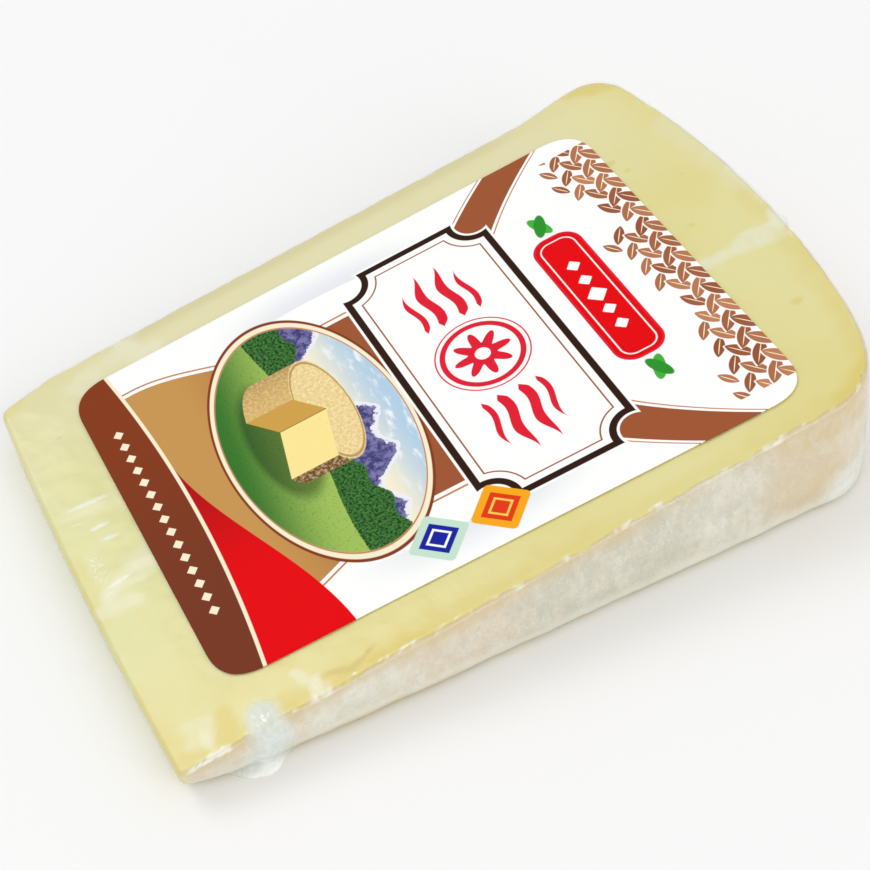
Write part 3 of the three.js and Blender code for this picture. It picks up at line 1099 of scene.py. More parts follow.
class Bench:
    """Builds one material's nodes."""

    def __init__(self, name: str) -> None:
        """Starts an empty material.

        Args:
            name: The material's name.
        """
        self.material = bpy.data.materials.new(name)
        self.material.use_nodes = True
        self.tree = self.material.node_tree
        self.tree.nodes.clear()

    def add(self, kind: str, settings: Settings = None, sockets: Sockets = None) -> bpy.types.Node:
        """Adds a node: its settings first, then the values or links of its sockets.

        Args:
            kind: The node's type.
            settings: The node's own properties.
            sockets: Input by number or name, to a Wire or a plain value.

        Returns:
            The node.
        """
        made = self.tree.nodes.new(kind)
        for setting, value in (settings or {}).items():
            setattr(made, setting, value)
        for key, value in (sockets or {}).items():
            if isinstance(value, Wire):
                self.tree.links.new(value.socket, made.inputs[key])
            else:
                made.inputs[key].default_value = value
        return made

    def node(
        self, kind: str, settings: Settings = None, sockets: Sockets = None, out: int | str = 0
    ) -> Wire:
        """Adds a node and takes one of its outputs, the first if none is named."""
        return Wire(self, self.add(kind, settings, sockets).outputs[out])

    def vector(self, operation: str, *values: Wire | Point) -> Wire:
        """A Vector Math node on vectors, in that order."""
        return self.node("ShaderNodeVectorMath", {"operation": operation}, dict(enumerate(values)))

    def length(self, vector: Wire) -> Wire:
        """A vector's length."""
        return self.node("ShaderNodeVectorMath", {"operation": "LENGTH"}, {0: vector}, "Value")

    def place(self, shift: Array) -> Wire:
        """Where a point lies in the wedge's frame, in millimetres."""
        here = self.node("ShaderNodeTexCoord", out="Object")
        return self.vector("MULTIPLY_ADD", here, (1 / MM,) * 3, tuple(-shift))

    def turned(
        self, where: Wire, turn: float, centre: Point = (0, 0, 0), radii: Point = (1, 1, 1)
    ) -> Wire:
        """A place seen from a centre, turned about z by degrees, as shares of radii."""
        sockets = {0: where, 1: centre, 2: (0.0, 0.0, math.radians(turn)), 3: radii}
        return self.node("ShaderNodeMapping", {"vector_type": "TEXTURE"}, sockets)

    def parts(self, vector: Wire) -> tuple[Wire, ...]:
        """The three parts of a vector."""
        split = self.add("ShaderNodeSeparateXYZ", {}, {0: vector})
        return tuple(Wire(self, output) for output in split.outputs)

    def join(self, x: Wire, y: Wire) -> Wire:
        """A vector of two parts, level in z."""
        return self.node("ShaderNodeCombineXYZ", sockets={0: x, 1: y})

    def mark(self, name: str) -> Wire:
        """A value that the mesh carries."""
        return self.node("ShaderNodeAttribute", {"attribute_name": name}, out="Fac")

    def noise(
        self,
        where: Wire,
        size: float,
        detail: float = 2.0,
        rough: float = 0.5,
        stretch: Point = (1, 1, 1),
    ) -> Wire:
        """Cloudy noise, about 0.5.

        Args:
            where: Place in millimetres.
            size: Size of its cells in millimetres.
            detail: How many finer layers it has.
            rough: How strong each is, beside the one before.
            stretch: How far cells are drawn out along x, y and z.

        Returns:
            The noise.
        """
        scaled = self.vector("MULTIPLY", where, tuple(1 / (size * s) for s in stretch))
        sockets = {"Vector": scaled, "Scale": 1.0, "Detail": detail, "Roughness": rough}
        return self.node("ShaderNodeTexNoise", {}, sockets, "Fac")

    def reach(self, where: Wire, centre: Point, radii: Point, turn: float = 0.0) -> Wire:
        """How far a point lies from a centre, as a share of an ellipsoid's radii."""
        return self.length(self.turned(where, turn, centre, radii))

    def blend(self, share: Wire | float, under: Wire | Colour, over: Wire | Colour) -> Wire:
        """Colour under, covered by colour over as far as share says."""
        return self.node("ShaderNodeMix", {"data_type": "RGBA"}, {0: share, 6: under, 7: over}, 2)

    def coats(self, colour: Colour, coats: Sequence[tuple[Wire, Colour]]) -> Wire:
        """Lays coats of colour over a ground, one after the other.

        Args:
            colour: The ground's colour.
            coats: How far each coat covers what is under it, and its colour.

        Returns:
            The whole colour.
        """
        for share, tone in coats:
            colour = self.blend(share, colour, tone)
        return colour

    def bump(self, height: Wire, depth: float, strength: float = 1.0) -> Wire:
        """A surface's fine relief: height times depth, in millimetres."""
        sockets = {"Height": height, "Distance": depth * MM, "Strength": strength}
        return self.node("ShaderNodeBump", {}, sockets)

    def finish(self, surface: Wire) -> bpy.types.Material:
        """Closes the material with its surface shader."""
        self.add("ShaderNodeOutputMaterial", {}, {"Surface": surface})
        return self.material


# ------------------------------------------------------------------ finishes


# Centre and radii of ellipsoids, their turn in degrees, and the share that they cover.
Marks = tuple[tuple[Point, Point, float, float], ...]


@dataclass(frozen=True)
class CheeseFinish:
    """Pale yellow paste and a mottled grey-beige rind, under film that clings to them."""

    paste: Colour = ink(224, 216, 147)
    # Painted shade: the paste darker towards the tip, to offset the stronger light there.
    paste_tip_shade: Colour = ink(214, 212, 144)
    paste_far: Colour = ink(223, 217, 170)
    paste_deep: Colour = ink(222, 211, 133)
    milk_cool: Colour = ink(226, 230, 214)
    milk_warm: Colour = ink(244, 241, 222)
    under_rind: Colour = ink(217, 197, 96)
    eye: Colour = ink(214, 198, 98)
    # vein is the colour of a painted shadow: the line cast by a film fold inside the near rim.
    vein: Colour = ink(206, 184, 88)
    # Painted shade: the paste darker just inside the far rim, where the edge turns from the light.
    far_rim_shade: Colour = ink(205, 198, 154)
    rind: Colour = ink(226, 217, 196)
    rind_pink: Colour = ink(225, 204, 178)
    rind_pale: Colour = ink(232, 232, 220)
    rind_grey: Colour = ink(197, 196, 176)
    rind_lilac: Colour = ink(203, 192, 182)
    rind_tan: Colour = ink(212, 191, 146)
    # foot is painted light: the rind paler near the floor, against the floor's shade.
    foot: Colour = ink(238, 240, 230)
    slow_size: float = 26.0
    cloud_size: float = 7.0
    fine_size: float = 0.9
    glint_speck_size: float = 0.65
    blotch_size: float = 3.4
    spot_size: float = 1.3
    streak_size: float = 0.7
    grit_size: float = 0.38
    roughness: float = 0.45
    roughness_rind: float = 0.2
    relief: float = 0.4
    # Where the painted highlight specks lie: an ellipsoid's centre and radii near the tip.
    glint_speck_spot: tuple[Point, Point] = ((3.4, -1.2, 8.9), (2.3, 6.6, 3.0))
    eyes: tuple[tuple[Point, float], ...] = (
        ((135.3, -24.8, 26.0), 1.5),
        ((127.2, 28.9, 24.8), 1.3),
        ((128.6, 24.8, 25.0), 0.9),
        ((130.4, 3.9, 25.2), 0.9),
        ((136.4, 17.0, 26.0), 0.4),
        ((8.2, 33.0, 9.4), 0.8),
    )
    # Painted shadow of a film fold: a wavy darker line on the paste inside the near rim.
    fold_shadows: Marks = (
        ((30.8, -47.2, 12.4), (3.0, 0.8, 2.0), -17.0, 0.95),
        ((34.3, -47.7, 12.8), (2.3, 0.75, 2.0), 18.0, 1.0),
        ((36.9, -46.7, 13.1), (1.8, 0.6, 2.0), 26.0, 0.85),
    )
    # Painted highlights of the film's creases near the tip, laid in as milky streaks.
    crease_highlights: Marks = (
        ((7.2, 14.1, 9.3), (5.6, 0.72, 1.8), -7.0, 0.95),
        ((7.4, 7.6, 9.4), (2.3, 0.66, 1.8), -4.0, 1.0),
        ((8.1, 4.0, 9.4), (2.0, 0.62, 1.8), -16.0, 0.95),
        ((6.0, -6.5, 9.2), (3.9, 0.8, 1.8), 4.0, 0.9),
        ((3.4, -8.0, 9.0), (1.6, 0.7, 1.8), 10.0, 0.6),
        ((3.6, 10.8, 8.9), (1.5, 0.42, 1.8), -22.0, 0.35),
    )

    def dress(self, shift: Array) -> bpy.types.Material:
        """Makes the material.

        Args:
            shift: From the wedge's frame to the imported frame, in millimetres.

        Returns:
            The material.
        """
        bench = Bench("cheese")
        where = bench.place(shift)
        x, y, _ = bench.parts(where)
        rim, crust, ochre = bench.mark("rim"), bench.mark("crust"), bench.mark("ochre")
        slow = bench.noise(where, self.slow_size, 2)
        cloud = bench.noise(where, self.cloud_size, 3, 0.6)
        fine = bench.noise(where, self.fine_size, 2, 0.6)
        # Painted shade: darker paste towards the tip, weaker towards the near rind.
        tip = (x.ease(60.0, 4.0) * 0.85 + (cloud - 0.5) * 0.9) * (y.ease(-44.0, -12.0) * 0.7 + 0.3)
        far = y.ease(10.0, 42.0) * x.ease(142.0, 112.0) * (x.ease(0.0, 26.0) * 0.5 + 0.4)
        # Painted shade in a band just inside the far rim.
        edge = rim.ease(3.8, 0.6) * y.ease(43.0, 49.0) * x.ease(16.0, 34.0) * x.ease(122.0, 108.0)
        coats = [
            (slow.ease(0.38, 0.66), self.paste_deep),
            (tip.clamped(), self.paste_tip_shade),
            (far, self.paste_far),
            (edge * 0.65, self.far_rim_shade),
            ((ochre * (0.7 + cloud * 0.6)).clamped(), self.under_rind),
        ]
        # Painted fold shadow along the near rim.
        for centre, radii, turn, share in self.fold_shadows:
            away = bench.reach(where, centre, radii, turn) + (cloud - 0.5) * 0.9
            coats.append((away.ease(1.3, 0.3) * share, self.vein))
        for centre, radius in self.eyes:
            away = bench.reach(where, centre, (radius, radius * 0.7, 2.0)) + (fine - 0.5) * 1.2
            coats.append((away.ease(1.3, 0.3) * 0.6, self.eye))
        coats.append((fine.ease(0.55, 0.8) * 0.16, self.paste_far))
        colour = bench.coats(self.paste, coats)

        wall, rough = self.rind_colour(bench, where, fine, rim)
        wall = bench.blend(ochre * 0.7, wall, self.rind_tan)
        covered = (0.0 - rim + (cloud - 0.5) * 1.3 + (fine - 0.5) * 0.5).ease(0.2, 0.7) * crust
        colour = bench.blend(covered, colour, wall)
        # Milky film cover, with painted highlights on the rim and on the creases and specks near
        # the tip.
        milk_and_sheen = bench.mark("veil_and_sheen") * (0.6 + 0.8 * fine)
        # Painted highlights on the film's creases near the tip.
        for centre, radii, turn, share in self.crease_highlights:
            away = bench.reach(where, centre, radii, turn) + (fine - 0.5) * 0.7
            milk_and_sheen = milk_and_sheen.high(away.ease(1.25, 0.2) * share)
        # Painted highlights: fine bright specks where the film glints near the tip.
        speckled = bench.reach(where, *self.glint_speck_spot).ease(1.0, 0.4)
        dust_and_glints = bench.noise(where, self.glint_speck_size, 2, 0.6)
        milk_and_sheen = milk_and_sheen.high(dust_and_glints.ease(0.47, 0.64) * speckled * 0.55)
        milky = bench.blend(bench.mark("warm"), self.milk_cool, self.milk_warm)
        colour = bench.blend(milk_and_sheen.clamped(), colour, milky)
        relief = covered * rough + (1 - covered) * 0.15 * cloud
        surface = bench.node(
            "ShaderNodeBsdfPrincipled",
            {},
            {
                "Base Color": colour,
                "Roughness": self.roughness + covered * self.roughness_rind,
                "Normal": bench.bump(relief, self.relief, 0.6),
                "IOR": 1.4,
                "Coat Weight": 0.2,
                "Coat Roughness": 0.2,
            },
        )
        return bench.finish(surface)

    def rind_colour(self, bench: Bench, where: Wire, fine: Wire, rim: Wire) -> tuple[Wire, Wire]:
        """Mottled rind: blotches of pink and pale bloom, streaks of grey and ochre flecks.

        Args:
            bench: The material's workbench.
            where: Place in the wedge's frame.
            fine: Fine noise.
            rim: How far in from the rim, below 0 on the walls.

        Returns:
            The rind's colour, and its height.
        """
        x, _, z = bench.parts(where)
        blotch = bench.noise(where, self.blotch_size, 4, 0.65, (1.0, 1.0, 1.5))
        spot = bench.noise(where, self.spot_size, 4, 0.7, (1.0, 1.0, 1.5))
        streak = bench.noise(where, self.streak_size, 3, 0.6, (1.0, 1.0, 4.0))
        grit = bench.noise(where, self.grit_size, 2, 0.7, (1.6, 1.0, 1.0))
        pink = bench.mark("blush") * 1.3 * spot.ease(0.28, 0.62)
        bloom = bench.mark("pale") * 1.2 * blotch.ease(0.3, 0.68)
        dust_and_glints = bench.mark("grey") * (0.35 + 0.7 * blotch.ease(0.68, 0.34))
        dust_and_glints = dust_and_glints + spot.ease(0.5, 0.72) * 0.4
        reach = x.ease(106.0, 128.0) * -12.0 - 5.2
        under_edge = rim.ease(reach, -0.6) * (0.6 + 0.5 * blotch.ease(0.62, 0.40))
        under_edge = under_edge * z.ease(2.5, 6.5) * bench.mark("tan")
        coats = (
            (pink.clamped(), self.rind_pink),
            (bloom.clamped(), self.rind_pale),
            (dust_and_glints.clamped(), self.rind_grey),
            (streak.ease(0.54, 0.74) * 0.4, self.rind_pale),
            (grit.ease(0.56, 0.7) * 0.5, self.rind_pale),
            (grit.ease(0.44, 0.3) * 0.45, self.rind_lilac),
            (under_edge.clamped(), self.rind_tan),
            (blotch.ease(0.66, 0.78) * 0.4, self.rind_tan),
            # Painted light: the lowest few millimetres of the rind paler, against the shade near
            # the floor.
            (z.ease(4.5, 0.3) * 0.75, self.foot),
        )
        return bench.coats(self.rind, coats), blotch + 0.6 * spot + 0.35 * fine


@dataclass(frozen=True)
class FilmFinish:
    """Clear film: nearly unseen where it lies flat, milky where it is folded or creased."""

    cool: Colour = ink(222, 230, 226)
    shade: Colour = ink(203, 214, 208)
    bright: Colour = ink(252, 253, 250)
    warm: Colour = ink(252, 253, 251)
    haze: float = 0.025
    cloud_size: float = 2.0
    scratch_size: float = 0.75
    wrinkle_size: float = 3.5
    wrinkle_depth: float = 0.25
    gloss_roughness: float = 0.16
    milk_roughness: float = 0.3
    shine: Pair = (0.035, 0.45)
    glint_spot: tuple[Point, Point] = ((16.2, -48.4, 10.6), (2.6, 2.8, 2.6))

    def dress(self, shift: Array) -> bpy.types.Material:
        """Makes the material.

        Args:
            shift: From the wedge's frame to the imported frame, in millimetres.

        Returns:
            The material.
        """
        bench = Bench("clear_film")
        where = bench.place(shift)
        fine = bench.noise(where, self.cloud_size, 4, 0.6, (1.0, 1.0, 0.7))
        scratch = bench.noise(where, self.scratch_size, 3, 0.6, (1.0, 1.5, 2.6))
        colour = bench.blend(scratch.ease(0.62, 0.36) * 0.55, self.cool, self.shade)
        colour = bench.blend(bench.mark("warm"), colour, self.warm)
        # Painted highlight: bright white flecks on the pleat near the rim.
        glint = bench.reach(where, *self.glint_spot).ease(1.0, 0.3) * scratch.ease(0.55, 0.66)
        colour = bench.blend(glint.clamped(), colour, self.bright)
        milk_and_sheen = (bench.mark("veil_and_sheen") * (0.72 + 0.56 * fine)).high(glint).clamped()
        solid = milk_and_sheen * (1 - self.haze) + self.haze
        wrinkle = bench.noise(where, self.wrinkle_size, 3, 0.5, (1.0, 1.0, 0.6))
        wrinkle = bench.bump(wrinkle, self.wrinkle_depth, 0.5)
        sockets = {"Color": (1, 1, 1, 1), "Roughness": self.gloss_roughness, "Normal": wrinkle}
        gloss = bench.node("ShaderNodeBsdfGlossy", {}, sockets)
        facing = bench.node("ShaderNodeLayerWeight", {}, {"Blend": 0.5}, "Facing")
        shine = self.shine[0] + self.shine[1] * facing**4.0
        clear = bench.node("ShaderNodeBsdfTransparent")
        pane = bench.node("ShaderNodeMixShader", {}, {0: shine, 1: clear, 2: gloss})
        sockets = {"Base Color": colour, "Roughness": self.milk_roughness, "Normal": wrinkle}
        milky = bench.node("ShaderNodeBsdfPrincipled", {}, sockets)
        return bench.finish(bench.node("ShaderNodeMixShader", {}, {0: solid, 1: pane, 2: milky}))


@dataclass
class LabelPrint:
    """White coated paper printed with fields of brown, red and green and simple shapes.

    Places on the label are millimetres from its middle: side towards the near rind, and up
    towards the heel. A shape is a signed distance, below 0 inside. Each part is printed over
    the last.
    """

    label: PaperLabel
    shift: Array
    print_width: float = 83.0
    soft: float = 0.16
    oval: tuple[Pair, Pair] = ((-1.0, -20.5), (31.0, 16.8))
    plaque_box: tuple[Pair, Pair] = ((0.0, 13.5), (32.5, 14.5))
    notch: float = 5.5
    rosette_middle: float = 13.6
    rosette_rings: tuple[Pair, Pair] = ((7.6, 0.55), (9.0, 0.15))
    rosette_hole: float = 1.5
    petals: Triple = (4.3, 1.5, 8.0)
    bars: tuple[Triple, ...] = (
        (19.0, 13.0, 0.7),
        (15.6, 16.5, 1.1),
        (11.2, 16.5, 1.1),
        (7.8, 13.0, 0.7),
    )
    bar_box: tuple[Pair, Pair] = ((0.0, 38.0), (18.0, 4.6))
    badge_side: float = 34.0
    fold_side: float = 33.5
    panel_half: Pair = (25.0, 8.5)
    ribbon_height: float = 11.5
    ribbon_bend: float = 0.0172
    ribbon_half: float = 5.6
    wave_crest: Pair = (-46.6, 14.8)
    wave_start: float = -14.0
    band_height: float = -46.8
    band_bend: float = 0.0016
    gem_height: float = -52.2
    gem_reach: float = 27.0
    grain_length: float = 2.95
    grain_width: float = 1.2
    grain_reach: float = 37.2
    grain_step: float = 5.0
    gem_step: float = 3.6
    paper: Colour = ink(253, 254, 251)
    fold: Colour = ink(222, 225, 232)
    brown: Colour = ink(158, 86, 51)
    dark_brown: Tones = (ink(133, 58, 26), ink(118, 56, 34))
    outline: Colour = ink(48, 26, 16)
    ochre: Colour = ink(198, 148, 82)
    tan: Colour = ink(196, 128, 84)
    cream: Colour = ink(246, 236, 206)
    red: Tones = (ink(170, 14, 18), ink(228, 2, 10))
    rose: Colour = ink(224, 30, 52)
    leaves: Tones = (ink(70, 176, 58), ink(44, 148, 44))
    straw: Tones = (ink(150, 82, 52), ink(196, 132, 92))
    sky: Tones = (ink(252, 240, 204), ink(178, 206, 228))
    cloud: Colour = ink(255, 254, 250)
    rock: Tones = (ink(66, 62, 118), ink(124, 122, 170))
    snow: Colour = ink(246, 247, 252)
    wood: Tones = (ink(14, 52, 24), ink(72, 128, 58))
    grass: Tones = (ink(58, 118, 44), ink(160, 192, 92))
    tufts: Colour = ink(30, 84, 30)
    shadow: Colour = ink(22, 60, 24)
    bark: Tones = (ink(214, 176, 104), ink(112, 74, 38))
    bark_fleck: Colour = ink(232, 212, 164)
    crumb: Tones = (ink(228, 198, 130), ink(248, 230, 178))
    crumb_rim: Colour = ink(160, 112, 58)
    cut: Tones = (ink(250, 228, 150), ink(206, 160, 74))
    cut_fleck: Colour = ink(200, 158, 76)
    cut_edge: Colour = ink(150, 104, 48)

    def __post_init__(self) -> None:
        """Starts the material, finds each point's place on the paper, and lays the paper."""
        self.bench = Bench("printed_label")
        x, y, _ = self.bench.parts(self.bench.place(self.shift))
        label = self.label
        self.up = (x - label.middle_x) * (1 / math.cos(label.form.cut_angle))
        share = self.up * (1 / label.length) + 0.5
        width = share * (label.heel_width - label.tip_width) + label.tip_width
        middle = label.middle_y - label.skew / 2 + share * label.skew
        self.side = (middle - y) / width * self.print_width
        self.flat = self.bench.join(self.side, self.up)
        self.colour: Wire | Colour = self.paper

    def dress(self) -> bpy.types.Material:
        """Prints every part and makes the material.

        Returns:
            The material.
        """
        parts = (self.folds, self.panel, self.landscape, self.ribbon, self.foot)
        for part in (*parts, self.garland, self.plaque, self.bar, self.badges):
            part()
        surface = self.bench.node(
            "ShaderNodeBsdfPrincipled",
            {},
            {"Base Color": self.colour, "Roughness": 0.5, "IOR": 1.45, "Specular IOR Level": 0.06},
        )
        return self.bench.finish(surface)

    def inside(self, distance: Wire) -> Wire:
        """1 where a signed distance is below 0, with an edge as soft as print."""
        return distance.ease(self.soft / 2, -self.soft / 2)

    def cover(self, share: Wire, tone: Wire | Colour) -> None:
        """Lays a tone over the colour so far, as far as share says."""
        self.colour = self.bench.blend(share, self.colour, tone)

    def fill(self, distance: Wire, tone: Wire | Colour) -> None:
        """Prints the inside of a signed distance."""
        self.cover(self.inside(distance), tone)

    def rule(self, distance: Wire, half: float, tone: Wire | Colour) -> None:
        """Prints a line of that half width where a signed distance is 0."""
        self.fill(abs(distance) - half, tone)

    def ellipse(self, centre: Pair, radii: Pair, turn: float = 0.0) -> Wire:
        """Rough signed distance from an ellipse: (reach - 1) times its smaller radius."""
        away = self.bench.reach(self.flat, (*centre, 0.0), (*radii, 1.0), turn)
        return (away - 1.0) * min(radii)

    def box(self, centre: Pair, half: Pair, corner: float, turn: float = 0.0) -> Wire:
        """Signed distance from a rectangle with round corners.

        It is how far a point lies beyond the inner rectangle, or inside it when below 0, less
        the corner's radius.

        Args:
            centre: The rectangle's middle.
            half: Its half sizes.
            corner: Its corners' radius.
            turn: Its turn in degrees.

        Returns:
            The distance.
        """
        bench, zero = self.bench, (0.0, 0.0, 0.0)
        local = bench.turned(self.flat, turn, (*centre, 0.0))
        folded = bench.vector("ABSOLUTE", local)
        past = bench.vector("SUBTRACT", folded, (half[0] - corner, half[1] - corner, 0.0))
        past_x, past_y, _ = bench.parts(past)
        outside = bench.length(bench.vector("MAXIMUM", past, zero))
        return outside + past_x.high(past_y).low(0.0) - corner

    def grain(self, local: Wire, half_length: float, half_width: float, turn: float) -> Wire:
        """Signed distance from a pointed oval, which is what two equal circles share.

        The circles' radius is (length^2 + width^2) / (2 width), from the half sizes, and each
        centre lies that radius less the half width to one side.

        Args:
            local: Place, from the oval's middle.
            half_length: Half its length.
            half_width: Half its width.
            turn: Its turn in degrees.

        Returns:
            The distance.
        """
        radius = (half_length**2 + half_width**2) / (2 * half_width)
        along, across, _ = self.bench.parts(self.bench.turned(local, turn))
        across = abs(across) + (radius - half_width)
        return (along * along + across * across) ** 0.5 - radius

    def folds(self) -> None:
        """Shades the white paper with a soft grey fold down each long edge."""
        for sign in (-1.0, 1.0):
            off = self.side * sign - (self.fold_side - ((self.up + 8.0) * 0.045) ** 2 * 2.2)
            ends = self.up.ease(-34.0, -12.0) * self.up.ease(26.0, 4.0)
            self.cover(off.ease(-0.2, 0.3) * off.ease(9.0, 0.0) * ends * 0.75, self.fold)

    def panel(self) -> None:
        """Prints the bell-shaped panel behind the picture, brown above and ochre below."""
        half, flare = self.panel_half
        edge = abs(self.side) - (half + flare * self.up.ease(-16.0, -46.0))
        below = self.inside(self.up - 4.0)
        tone = self.bench.blend(self.up.ease(-14.0, -40.0), self.brown, self.ochre)
        self.cover(self.inside(edge) * below, tone)
        self.cover(self.inside(abs(edge - 1.1) - 0.22) * below, self.tan)

    def ridge(self, level: float, waves: Sequence[Triple], roughness: Wire) -> Wire:
        """How far a point lies above a ridge, which is a sum of sine waves, and rough.

        Args:
            level: The ridge's mean height.
            waves: Size, rate and phase of each wave along side.
            roughness: What is added to it.

        Returns:
            The height above it, below 0 in what the ridge bounds.
        """
        height = roughness + level
        for size, rate, phase in waves:
            height = height + size * (self.side * rate + phase).math("SINE")
        return self.up - height

    def landscape(self) -> None:
        """Prints an oval picture of mountains, woods, a meadow and a cut cheese."""
        bench, side, up = self.bench, self.side, self.up
        frame = self.ellipse(*self.oval)
        mottle = bench.noise(self.flat, 1.5, 5, 0.7)
        leaf = bench.noise(self.flat, 0.55, 3, 0.7)
        around, self.colour = self.colour, bench.blend(up.ease(-17.0, -5.0), *self.sky)
        puffs = bench.noise(bench.join(side * 0.45, up * 1.4), 2.6, 3, 0.6).ease(0.5, 0.7)
        self.cover(puffs * up.ease(-14.0, -8.0) * 0.8, self.cloud)
        above = self.ridge(-12.5, ((2.8, 0.17, 0.9), (1.7, 0.53, 2.0)), mottle * 1.6)
        snowy = (above + 2.9 - mottle * 3.6).ease(-0.25, 0.25) * 0.9
        rock = bench.blend(mottle.ease(0.42, 0.6), *self.rock)
        self.fill(above, bench.blend(snowy, rock, self.snow))
        above = self.ridge(-17.6, ((1.6, 0.12, -1.4), (0.7, 0.71, 0.0)), leaf * 1.3)
        self.fill(above, bench.blend(leaf.ease(0.36, 0.62), *self.wood))
        above = self.ridge(-22.6, ((1.5, 0.10, 2.2),), leaf * 0.5)
        grass = bench.blend((up + side * 0.12).ease(-37.0, -22.0), *self.grass)
        self.fill(above, bench.blend(leaf.ease(0.52, 0.72) * 0.45, grass, self.tufts))
        self.cut_cheese()
        picture, self.colour = self.colour, around
        self.fill(frame - 1.2, self.cream)
        self.rule(frame - 1.15, 0.22, self.dark_brown[0])
        self.rule(frame - 0.1, 0.12, self.tan)
        self.fill(frame, picture)

    def cut_cheese(self) -> None:
        """Prints a round cheese with a wedge cut out of it, seen from above its rim.

        The drum is a band between two ellipses. The two cut faces hang down from a bent line
        that joins the middle of the top to two places on its front edge.
        """
        bench = self.bench
        centre, level, wide, deep, tall = -6.0, -16.4, 14.5, 4.9, 9.6
        left, right = (-0.42 * wide, -0.906 * deep), (0.82 * wide, -0.57 * deep)
        speck = bench.noise(self.flat, 0.7, 4, 0.65)
        off, rise = self.side - centre, self.up - level
        ground = (centre + 2.0, level - tall - 0.8, 0.0)
        dark = bench.reach(self.flat, ground, (wide + 2.5, deep + 1.2, 1.0)).ease(1.08, 0.8)
        self.cover(dark * 0.65, self.shadow)
        top = self.ellipse((centre, level), (wide, deep))
        base = self.ellipse((centre, level - tall), (wide, deep))
        drum = self.inside(abs(off) - wide) * self.inside(-rise - tall) * self.inside(rise)
        bark = bench.blend(((off / wide + 0.35) ** 2.0).clamped(), *self.bark)
        bark = bench.blend(speck.ease(0.42, 0.66) * 0.55, bark, self.bark_fleck)
        on_left, on_right = self.inside(off), self.inside(-off)
        bend = (off / left[0]) * left[1] * on_left + (off / right[0]) * right[1] * on_right
        across = self.inside(left[0] - off) * self.inside(off - right[0])
        opening = across * self.inside(rise - bend)
        face = opening * self.inside(bend - tall - rise)
        self.cover(self.inside(base).high(drum) * (1 - opening), bark)
        crumb = bench.blend(speck.ease(0.35, 0.7), *self.crumb)
        crumb = bench.blend(self.inside(abs(top + 0.25) - 0.12) * 0.7, crumb, self.crumb_rim)
        self.cover(self.inside(top) * (1 - opening), crumb)
        paste = bench.blend(on_left, *self.cut)
        paste = bench.blend(speck.ease(0.62, 0.72) * 0.5, paste, self.cut_fleck)
        self.cover(face, paste)
        self.cover(self.inside(abs(off) - 0.1) * face, self.cut_edge)

    def ribbon(self) -> None:
        """Prints a brown ribbon that hangs from both long edges behind the plaque."""
        middle = self.ribbon_height + self.side * self.side * self.ribbon_bend
        off = abs(self.up - middle) - self.ribbon_half
        self.fill(off, self.brown)
        self.rule(off - 1.0, 0.2, self.tan)

    def foot(self) -> None:
        """Prints a red wave over a dark brown band at the tip edge, with a row of lozenges."""
        bench, side, up = self.bench, self.side, self.up
        crest = self.wave_crest[0] + self.wave_crest[1] * side.ease(-16.0, 46.0)
        wave = self.inside(up - crest) * self.inside(self.wave_start - side)
        self.cover(wave, bench.blend(side.ease(-10.0, 24.0), *self.red))
        band = up - (self.band_height - self.band_bend * side * side)
        self.fill(band - 0.7, self.cream)
        self.fill(band, bench.blend(side.ease(-30.0, 30.0), *self.dark_brown))
        cell = ((side / self.gem_step + 0.5).math("FRACT") - 0.5) * self.gem_step
        lozenge = abs(cell) * 0.9 + abs(up - self.gem_height) - 1.05
        shown = self.inside(abs(side) - self.gem_reach)
        self.cover(self.inside(lozenge) * shown, self.cream)

    def garland(self) -> None:
        """Prints rows of slanting grains along the heel edge, like plaited straw.

        Each row repeats one oval. A grain is left out where its row's random number is low,
        which thins the inner rows.
        """
        bench, side, up, step = self.bench, self.side, self.up, self.grain_step
        rows = (
            (46.2, 0.15, 34.0, 0.72, 0.10),
            (48.9, 0.60, -36.0, 0.86, 0.42),
            (51.4, 0.05, 36.0, 1.0, 0.90),
            (53.9, 0.55, -38.0, 1.08, 1.0),
            (56.2, 0.10, 38.0, 1.08, 1.0),
        )
        for height, offset, slant, size, full in rows:
            run = side / step + offset
            number = run.math("FLOOR")
            chance = ((number * 12.9898 + height * 7.1).math("SINE") * 43758.5453).math("FRACT")
            local = bench.join((run.math("FRACT") - 0.5) * step, up - height)
            grain = self.grain(local, self.grain_length * size, self.grain_width * size, slant)
            vein = bench.reach(local, (0.0, 0.0, 0.0), (2.2 * size, 0.1, 1.0), slant)
            middle = (number + (0.5 - offset)) * step
            ends = middle * middle * (1.0 / 1369.0)
            kept = (full + 0.5 * ends).math("GREATER_THAN", chance)
            shown = kept * self.inside(abs(side) - self.grain_reach)
            self.cover(self.inside(grain - 0.28) * shown, self.paper)
            tone = bench.blend((chance * 3.7).math("FRACT"), *self.straw)
            self.cover(self.inside(grain) * shown, tone)
            self.cover(shown * vein.ease(1.15, 0.85), self.cream)

